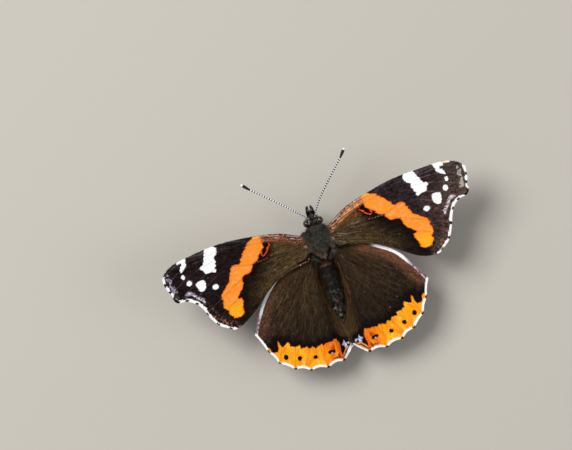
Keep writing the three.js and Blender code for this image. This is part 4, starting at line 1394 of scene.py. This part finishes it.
# The lumps of the trunk melt into each other; limbs and face stay crisp.
rough = vertex_places(skin.data)
trunk = (abs(rough[:, 0]) < 3.2) & (rough[:, 2] > 5.6) & (abs(rough[:, 1] + 0.8) < 3.6)
group = skin.vertex_groups.new(name="trunk")
group.add(np.flatnonzero(trunk).tolist(), 1.0, "REPLACE")
melt = skin.modifiers.new("melt", "SMOOTH")
melt.vertex_group = "trunk"
melt.factor = 0.5
melt.iterations = 18
bpy.ops.object.modifier_apply(modifier="melt")
unwrap_outside(skin, 0.001)
bpy.ops.object.shade_smooth()
skin_places = vertex_places(skin.data)
skin_normals = np.empty(len(skin_places) * 3)
skin.data.vertex_normals.foreach_get("vector", skin_normals)
skin_normals = skin_normals.reshape(-1, 3)


def leg_lie(points):
    """How far points lie from the nearest leg or palp, and which way that limb runs there."""
    nearest = np.full(len(points), 9.0)
    along = np.zeros((len(points), 3))
    for line in flow_lines:
        line = line[:: max(1, len(line) // 8)]
        for start, end in zip(line, line[1:]):
            step = end - start
            t = np.clip((points - start) @ step / (step @ step + 1e-9), 0, 1)
            away = np.linalg.norm(points - start - t[:, None] * step, axis=1)
            closer = away < nearest
            nearest[closer] = away[closer]
            along[closer] = step / np.linalg.norm(step)
    return nearest, along


def body_regions(points):
    """How much each point belongs to the head, the palps, the abdomen and the legs."""
    x, y, z = points.T
    near, along = leg_lie(points)
    legs = (near < 0.42) & ((abs(x) > 1.85) | ((z < 4.75) & (y > 2.3))) & (z < 5.9)
    palps = (near < 0.45) & (y > 5.1) & (z > 5.2) & ~legs
    return ramp(y, 3.15, 3.45) * ~legs, palps, ramp(-y, 3.6, 4.2) * ~legs, legs, along


# The back plate of the thorax ends behind in a dark V.
BACK_PLATE = [smooth_line([(-2.1, -1.5), (-1.3, -2.7), (0.0, -3.85), (0.9, -2.9), (1.65, -1.5)], 4)]


def body_colours(points, up):
    """Colours of skin and fur: grey-green back, brown sides, dark ringed abdomen, buff underside."""
    x, y, z = points.T
    head, palps, abdomen, legs, _ = body_regions(points)
    under = ramp(-up[:, 2], 0.0, 0.6) * ramp(7.0 - z, 0, 1.2)
    colour = painted(
        "#35352c",
        (0.4 + 0.6 * mottle(x, y, 0.45, 41), "#47463c"),
        (0.6 * patchy(x, y, 0.8, 42, 0.0, 0.6), "#2a322f"),
        (0.7 * ramp(abs(x), 1.4, 2.5) * patchy(x, y, 0.5, 43, -0.7, 0.3), "#503c30"),
        (0.5 * ramp(-y, 1.8, 3.4) * patchy(x, y, 0.4, 44, -0.3, 0.6), "#574233"),
    )
    plate = distance_to(BACK_PLATE, x, y)
    top = ramp(z, 6.9, 7.5)
    within = ramp(depth_inside(BACK_PLATE[0], x, y), 0.1, 0.3)
    rust = within * ramp(0.75 - abs(plate - 0.6), 0.3, 0.6) * patchy(x, y, 0.35, 48, -0.4, 0.2)
    colour = painted(
        colour,
        (rust * top * 0.6, "#7d4a34"),
        (ramp(0.3 - plate, 0, 0.14) * top, "#0b0908"),
        (ramp(0.5 - abs(y - 3.0), 0, 0.4) * patchy(x, y, 0.3, 49, -0.6, 0.2) * 0.6, "#54453a"),
    )
    shoulder = spot(abs(x), y, (2.62, 0.0), 0.4, 0.25) + 0.12 * mottle(x, y, 0.25, 64)
    colour = painted(colour, (ramp(shoulder, -0.02, 0.06) * top * 0.9, "#b58c7d"))
    # The first ring of the abdomen is haired like the thorax, with a rusty edge and a dark fold
    # behind it. On the rings after it grey scales fleck the rear half.
    ring = (ABDOMEN_FRONT - y) / SEGMENT % 1
    rings = painted(
        "#14110e",
        (0.5 + 0.6 * mottle(x, y, 0.5, 45), "#221c17"),
        (0.5 * patchy(x, y, 0.9, 55, 0.1, 0.6) * ramp(9.5 + y, -0.5, 1.0), "#212a27"),
    )
    flecked = patchy(x, y, 0.3, 56, 0.15, 0.55) * ramp(-y, 9.5, 11.5)
    rings = painted(
        rings,
        (flecked * (0.2 + 0.4 * ramp(ring, 0.5, 0.95)), "#857f78"),
        (patchy(x, y, 0.35, 57, 0.5, 0.8) * ramp(-y, 11, 13) * 0.6, "#8a5545"),
        (ramp(ring, 0.75, 0.95) * 0.15, "#6b665e"),
        # The abdomen's sides are darkened: painted shade where it lies down between the wings.
        (0.7 * ramp(abs(x), 0.9, 1.6), "#2a1e14"),
    )
    fold = -5.35 - 0.13 * (x - 0.1) ** 2
    rusty = ramp(0.3 - abs(y - fold - 0.45), 0, 0.2)
    rings = painted(
        rings,
        (ramp(y, fold - 0.1, fold + 0.1) * 0.9, "#2c241d"),
        (rusty * patchy(x, y, 0.4, 58, -0.6, 0.1) * 0.7, "#713f2b"),
        (ramp(0.16 - abs(y - fold), 0, 0.1), "#0e0a08"),
    )
    colour = colour * (1 - abdomen[:, None]) + rings * abdomen[:, None]
    colour = painted(
        colour,
        (under, "#8f8069"),
        (under * abdomen * ramp(0.3 - abs(x), 0, 0.2) * 0.5, "#5d4f3d"),
    )
    face = painted(
        "#2a231f",
        (0.5 + 0.6 * mottle(x, y, 0.25, 46), "#463a32"),
        (ramp(mottle(x * 2.5, y, 0.5, 62), 0.35, 0.6) * ramp(y, 3.6, 4.2) * 0.6, "#a9a6a3"),
        (ramp(mottle(x * 2.5, y, 0.5, 63), 0.3, 0.5) * ramp(y, 3.6, 4.2) * 0.9, "#0d0a09"),
        (ramp(y, 4.5, 5.0) * patchy(x, y, 0.25, 59, -0.3, 0.3) * 0.8, "#5c3b31"),
    )
    eye = np.sqrt((((abs(points) - EYE_PLACE) / EYE_RADII) ** 2).sum(1))
    face = painted(
        face,
        (ramp(1.4 - eye, 0, 0.15) * patchy(x, y, 0.22, 47, 0.0, 0.25), "#c9ccd2"),
        (ramp(6.6 - z, 0, 0.6), "#a89c86"),
    )
    colour = colour * (1 - head[:, None]) + face * head[:, None]
    streak = abs(abs(x) - np.interp(y, [4.6, 6.0, 7.45], [0.46, 0.44, 0.38]))
    front, back = ramp(0.4 - abs(y - 6.75), 0, 0.2), ramp(0.4 - abs(y - 5.4), 0, 0.2)
    pale = ramp(0.1 - streak, 0, 0.08) * np.maximum(front, 0.6 * back)
    palp = painted(
        "#0c0a09",
        (pale, "#8d9aa6"),
        (ramp(0.42 - abs(x), 0, 0.15) * ramp(6.7 - y, 0, 0.5) * 0.85, "#5f3d32"),
        (ramp(-up[:, 2], 0.1, 0.6), "#c2b7a2"),
    )
    colour = np.where(palps[:, None], palp, colour)
    limb = painted(
        "#2b221c",
        (ramp(3.5 - z, 0, 2.5), "#6f5a44"),
        (ramp(-up[:, 2], -0.2, 0.6) * 0.8, "#a08a6c"),
    )
    colour = colour * np.clip(1 + 0.35 * mottle(x, y, 0.2, 61), 0.4, 2)[:, None]
    return np.clip(np.where(legs[:, None], limb, colour), 0, 1)


set_tint(skin.data, body_colours(skin_places, skin_normals) * SKIN_SHADE)
set_vertex_places(skin.data, to_world(turned(skin_places)))
# Cuticle under the fur is finely pitted, about a twentieth of a millimetre across.
skin_finish, tree, shader = tinted_finish("insect_cuticle", 0.5, 0.3)
add_grain(tree, shader, 0.05, 0.02, 0.5, 4.0)
skin.data.materials.clear()
skin.data.materials.append(skin_finish)
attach(skin, "root")
bare = ("forewing", "hindwing", "eye", "antenna", "proboscis")
fleshy = [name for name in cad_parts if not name.startswith(bare)]
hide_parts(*fleshy)


# Fur: long soft hairs on the thorax that lie backwards, short scale-like hairs on the abdomen and
# legs, and a brush on the face and palps. Hairs lean together into small tufts.
HAIR_SHAPE = [(0.0, 0.42, 0.0, 0.55), (0.4, 0.5, 0.75, 0.9), (0.75, 0.36, 0.7, 1.05), (1.0, 0.06, 0.0, 1.2)]
TUFT = 0.35
THORAX, HEAD, PALPS, ABDOMEN, LEGS = range(5)
# Hairs to the square millimetre, length, width and lift in degrees, by region
FUR = {
    THORAX: (190, 0.62, 0.065, 24),
    HEAD: (230, 0.5, 0.035, 34),
    PALPS: (230, 0.4, 0.035, 18),
    ABDOMEN: (190, 0.55, 0.07, 14),
    LEGS: (170, 0.2, 0.045, 14),
}
HAIR_RISE = 0.14
SOLE_HEIGHT = 0.16
# No hair grows within this much of the eyes, as a share of their radii.
EYE_CLEARANCE = 1.04


def sample_skin(density, rng):
    """Roots spread over the skin, with their normals and their places on its unwrap."""
    mesh = skin.data
    mesh.calc_loop_triangles()
    count = len(mesh.loop_triangles)
    corners = np.empty(count * 3, int)
    loops = np.empty(count * 3, int)
    mesh.loop_triangles.foreach_get("vertices", corners)
    mesh.loop_triangles.foreach_get("loops", loops)
    corners, loops = corners.reshape(-1, 3), loops.reshape(-1, 3)
    uv = np.empty(len(mesh.loops) * 2)
    mesh.uv_layers["OFBake"].data.foreach_get("uv", uv)
    uv = uv.reshape(-1, 2)
    a, b, c = (skin_places[corners[:, k]] for k in range(3))
    area = np.linalg.norm(np.cross(b - a, c - a), axis=1) / 2
    pick = rng.choice(count, int(area.sum() * density), p=area / area.sum())
    s, t = rng.random(len(pick)), rng.random(len(pick))
    fold = s + t > 1
    s[fold], t[fold] = 1 - s[fold], 1 - t[fold]
    weights = np.stack([1 - s - t, s, t], -1)[..., None]
    places = (skin_places[corners[pick]] * weights).sum(1)
    normals = unit((skin_normals[corners[pick]] * weights).sum(1))
    return places, normals, (uv[loops[pick]] * weights).sum(1)


rng = np.random.default_rng(7)
fur = np.array(list(FUR.values()))
densest = fur[:, 0].max()
roots, normals, unwrap = sample_skin(densest, rng)
head, palps, abdomen, legs, along = body_regions(roots)
region = np.select([legs, palps, abdomen > 0.5, head > 0.5], [LEGS, PALPS, ABDOMEN, HEAD], THORAX)
keep = rng.random(len(roots)) < fur[region, 0] / densest
inside_eye = np.sqrt((((abs(roots) - EYE_PLACE) / EYE_RADII) ** 2).sum(1)) < EYE_CLEARANCE
keep &= ~(inside_eye & (head > 0))
# The soles of the feet stay bare where they touch the floor.
keep &= roots[:, 2] > SOLE_HEIGHT
roots, normals, unwrap, region, along = (values[keep] for values in (roots, normals, unwrap, region, along))
x, y, z = roots.T
flow = np.tile((0.0, -1.0, 0.0), (len(roots), 1))
flow[:, 0] = np.where(region == THORAX, 0.16 * x, 0)
# Over the wing roots the hair spreads outwards and is a little longer, and longer still at the
# front corners of the thorax.
flank = (region == THORAX) * ramp(abs(x), 1.5, 2.2) * ramp(z, 6.6, 7.4)
collar = (region == THORAX) * ramp(y, 1.5, 2.2) * ramp(abs(x), 0.8, 1.4)
flow[:, 0] += flank * np.sign(x) * 0.6
flow[:, 0] += collar * np.sign(x) * 0.8
flow[:, 0] += (region == ABDOMEN) * np.sign(x) * 0.4 * ramp(abs(x), 0.6, 1.4)
flow[region == HEAD] = (0, 0.7, 0.5)
flow[region == PALPS] = (0, 1, 0.4)
flow[region == LEGS] = along[region == LEGS]
# Between the palps the hairs lean together and close the gap at their root.
between = (region == PALPS) & (abs(x) < 0.52) & (y < 6.5)
flow[between, 0] = -1.3 * np.sign(x[between])
for axis in range(3):
    flow[:, axis] += 0.55 * mottle(x + 0.7 * z, y + 0.6 * z, TUFT, 50 + axis) * (region != LEGS)
flow += rng.normal(0, 0.12, flow.shape)
flow = flattened(flow, normals)
lift = np.radians(fur[region, 3] * rng.uniform(0.5, 1.4, len(roots)))[:, None]
forward = flow * np.cos(lift) + normals * np.sin(lift)
upright = flattened(normals, forward)
length = fur[region, 1] * rng.uniform(0.7, 1.25, len(roots))
length = length * (1 + 0.35 * flank + 0.7 * collar)
length = length * (1 + 0.5 * (region == ABDOMEN) * ramp(abs(x), 0.9, 1.5) * ramp(8.5 + y, 0, 2))
length = length * np.where((region == HEAD) & (y > 4.6), 1.3, 1) * np.where(between, 1.2, 1)
colours = body_colours(roots, normals) * np.clip(rng.normal(1, 0.42, (len(roots), 1)), 0.3, 2.4)
# Hair is dry and scatters light, with hardly any gloss.
fur_finish, tree, shader = tinted_finish("insect_fur", 0.65, 0.07)
bearing = turned((0, 0, 0))
for name, chosen, slot in (
    ("thorax_fur", region == THORAX, "body_fur"),
    ("head_fur", (region == HEAD) | (region == PALPS), "body_fur"),
    ("abdomen_fur", region == ABDOMEN, "body_fur"),
    ("leg_scales", region == LEGS, "leg_scales"),
):
    piece = lay_plates(
        name, turned(roots[chosen]), turned(forward[chosen]) - bearing, turned(upright[chosen]) - bearing,
        length[chosen], fur[region[chosen], 2], length[chosen] * HAIR_RISE, HAIR_SHAPE, colours[chosen],
        unwrap[chosen], fur_finish,
    )


# Eyes: domes of thousands of clear lenses, dark above, with a painted glow of light through the lenses
# that makes them orange-brown round the rim. The lenses are drawn at about twice their real size, so
# that they show, under a smooth glossy surface.
LENS_SIZE = 0.045
eye_finish, tree, shader = new_material("compound_eye_lenses", 0.3, 0.3)
where = add_node(tree, "ShaderNodeTexCoord")
height = add_node(tree, "ShaderNodeSeparateXYZ", {"Vector": where.outputs["Object"]})
# The colour darkens with height; the orange-brown low on the rim is painted light shining through the
# lenses.
eye_low = (EYE_PLACE[2] - 0.1 * EYE_RADII[2]) * MM
eye_high = (EYE_PLACE[2] + 0.9 * EYE_RADII[2]) * MM
level = add_node(
    tree, "ShaderNodeMapRange", {"Value": height.outputs["Z"], "From Min": eye_low, "From Max": eye_high}
)
shade = add_node(tree, "ShaderNodeValToRGB", {"Fac": level.outputs["Result"]})
shade.color_ramp.elements[0].color = (*srgb("#a8520f"), 1)
shade.color_ramp.elements[1].color = (*srgb("#160d0b"), 1)
middle_stop = shade.color_ramp.elements.new(0.36)
middle_stop.color = (*srgb("#562612"), 1)
lenses = add_node(
    tree, "ShaderNodeTexVoronoi", {"Vector": where.outputs["Object"], "Scale": 1 / (LENS_SIZE * MM)}
)
domes = add_node(
    tree, "ShaderNodeBump", {"Height": lenses.outputs["Distance"], "Strength": 0.35, "Distance": 0.01 * MM},
    invert=True,
)
tree.links.new(shade.outputs["Color"], shader.inputs["Base Color"])
tree.links.new(domes.outputs["Normal"], shader.inputs["Normal"])
shader.inputs["Coat Weight"].default_value = 1.0
shader.inputs["Coat Roughness"].default_value = 0.1
for side in (LEFT, RIGHT):
    bpy.ops.object.select_all(action="DESELECT")
    bpy.ops.mesh.primitive_uv_sphere_add(segments=64, ring_count=48)
    eye = bpy.context.object
    eye.name = eye.data.name = f"eye_{SIDES[side]}_lenses"
    dome = vertex_places(eye.data) * EYE_RADII + np.array(EYE_PLACE) * (side, 1, 1)
    set_vertex_places(eye.data, to_world(turned(dome)))
    eye.data.uv_layers[0].name = "OFBake"
    eye.data.materials.append(eye_finish)
    bpy.ops.object.shade_smooth()
    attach(eye, "root")
    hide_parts(f"eye_{SIDES[side]}")


# Feelers: stiff jointed rods, each joint black with a white band, ending in a black club with a
# pale tip. They spring from sockets between the eyes.
FEELER_LENGTH = 12.9
FEELER_JOINT = 0.52
FEELER_RADIUS = 0.2
FEELER_ROD = {
    LEFT: [(-0.26, 4.95, 8.1), (-5.15, 10.15, 10.8), (-9.92, 14.82, 12.75)],
    RIGHT: [(0.94, 4.95, 8.1), (1.75, 6.3, 8.9), (3.15, 8.15, 9.85), (6.35, 11.35, 11.35),
            (10.085, 14.82, 12.75)],
}
# The tiny scales on the feelers roughen them at a twenty-fifth of a millimetre.
feeler_finish, tree, shader = tinted_finish("banded_feeler_scales", 0.5, 0.3)
add_grain(tree, shader, 0.04, 0.01, 0.4, 2.0)


def finish_limb(name, line, radii, shades, node):
    """A thin tapering limb in the wings' frame, coloured along its length, in place of a node."""
    limb = add_limb(line, radii)
    limb.name = limb.data.name = name
    places = vertex_places(limb.data)
    nearest = np.concatenate([
        ((line[None] - part[:, None]) ** 2).sum(2).argmin(1) for part in np.array_split(places, 20)
    ])
    set_tint(limb.data, shades[nearest])
    set_vertex_places(limb.data, to_world(places))
    bpy.ops.object.shade_smooth()
    limb.data.materials.clear()
    limb.data.materials.append(feeler_finish)
    unwrap_outside(limb, 0.002)
    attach(limb, "root")
    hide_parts(node)


# How much of each joint is white: on the left feeler the white is painted wider, as painted light on its lit
# front side.
WHITE_SHARE = {LEFT: 0.56, RIGHT: 0.4}
# The club's radius at places along it
CLUB_SHAPE = [0, 0.12, 0.35, 0.6, 0.82, 0.94, 1], [0.15, 0.2, 0.29, 0.33, 0.29, 0.2, 0.04]
for side in (LEFT, RIGHT):
    line = run_along(smooth_line(FEELER_ROD[side], 60))
    joints = round(FEELER_LENGTH / FEELER_JOINT)
    t = np.linspace(0, 1, joints * 9)
    part = t * joints % 1
    # Near the head the joints are thinner, smoother and greyer.
    grown = ramp(t, 0.06, 0.36)
    waist = (0.15 + 0.3 * grown) * np.sin(math.pi * part) ** 0.6
    swell = FEELER_RADIUS * (0.62 + 0.38 * grown) * (1.15 - waist)
    white = ramp(WHITE_SHARE[side] / 2 - abs(part - 0.5), -0.03, 0.05) * (0.35 + 0.65 * grown)
    shades = painted(
        "#0d0b0d",
        (0.35 * (1 - grown), "#7d8ba3"),
        (white, "#ffffff"),
    )
    name = f"antenna_{SIDES[side]}"
    finish_limb(name + "_rod", line(t), swell, shades, name + "_shaft")
    club = [
        (0.085 + side * 9.95, 14.77, 12.73),
        (0.08 + side * 10.8, 15.75, 13.1),
        (0.08 + side * 11.4, 16.45, 13.35),
    ]
    line = run_along(smooth_line(club, 30))
    t = np.linspace(0, 1, 50)
    bulge = np.interp(t, *CLUB_SHAPE)
    grooved = np.sin(t * 12 * math.pi) > 0.6
    shades = painted(
        "#141118",
        (ramp(t, 0.8, 0.86), "#fff8e6"),
        (0.35 * grooved * ramp(0.8 - t, 0, 0.2), "#5a5560"),
    )
    radii = bulge * (1 - 0.05 * grooved)
    finish_limb(name + "_tip", line(t), radii, shades, name + "_club")


# Proboscis: a coiled drinking tube, held under the face between the palps.
COIL_TURNS = 2.6
t = np.linspace(0, 1, 140)
turn = math.radians(80) + t * COIL_TURNS * 2 * math.pi
far = 0.46 - 0.3 * t
coil = np.stack([0.05 * np.sin(t * 9), 4.75 + far * np.cos(turn), 4.62 + far * np.sin(turn)], -1)
coil = np.vstack([smooth_line([(0, 4.55, 5.6), (0, 4.9, 5.35), tuple(coil[0])], 10)[:-1], coil])
thick = np.interp(np.linspace(0, 1, len(coil)), [0, 0.9, 1], [0.1, 0.06, 0.03])
ringed = 0.5 + 0.5 * np.sin(np.linspace(0, 90, len(coil)))
shades = painted("#3a2a1c", (ringed * 0.5, "#6a4e30"))
finish_limb("proboscis_coil", turned(coil), thick, shades, "proboscis")


# Claws: a pair of small black hooks at the end of each foot that walks.
claws = []
for side in (LEFT, RIGHT):
    for points in LEG_POINTS.values():
        ankle, tip = np.array(points[2], float), np.array(points[3], float)
        onward = unit((tip - ankle) * (1, 1, 0))
        sideways = np.array((-onward[1], onward[0], 0))
        for hand in (-1, 1):
            root = tip + (0, 0, FOOT_RADIUS) - onward * 0.08 + sideways * hand * 0.05
            hook = [root, root + onward * 0.2 + sideways * hand * 0.1 + (0, 0, 0.04),
                    root + onward * 0.33 + sideways * hand * 0.13 + (0, 0, -0.06)]
            line, radii = spread(hook, [0.05, 0.035, 0.008])
            claws.append(add_limb(turned(line * (side, 1, 1)), radii))
claw_set = join_pieces(claws, "claws")
set_vertex_places(claw_set.data, to_world(vertex_places(claw_set.data)))
set_tint(claw_set.data, np.tile(srgb("#1a120d"), (len(claw_set.data.vertices), 1)))
claw_set.data.materials.clear()
claw_set.data.materials.append(feeler_finish)
bpy.ops.object.shade_smooth()
unwrap_outside(claw_set, 0.002)
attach(claw_set, "root")
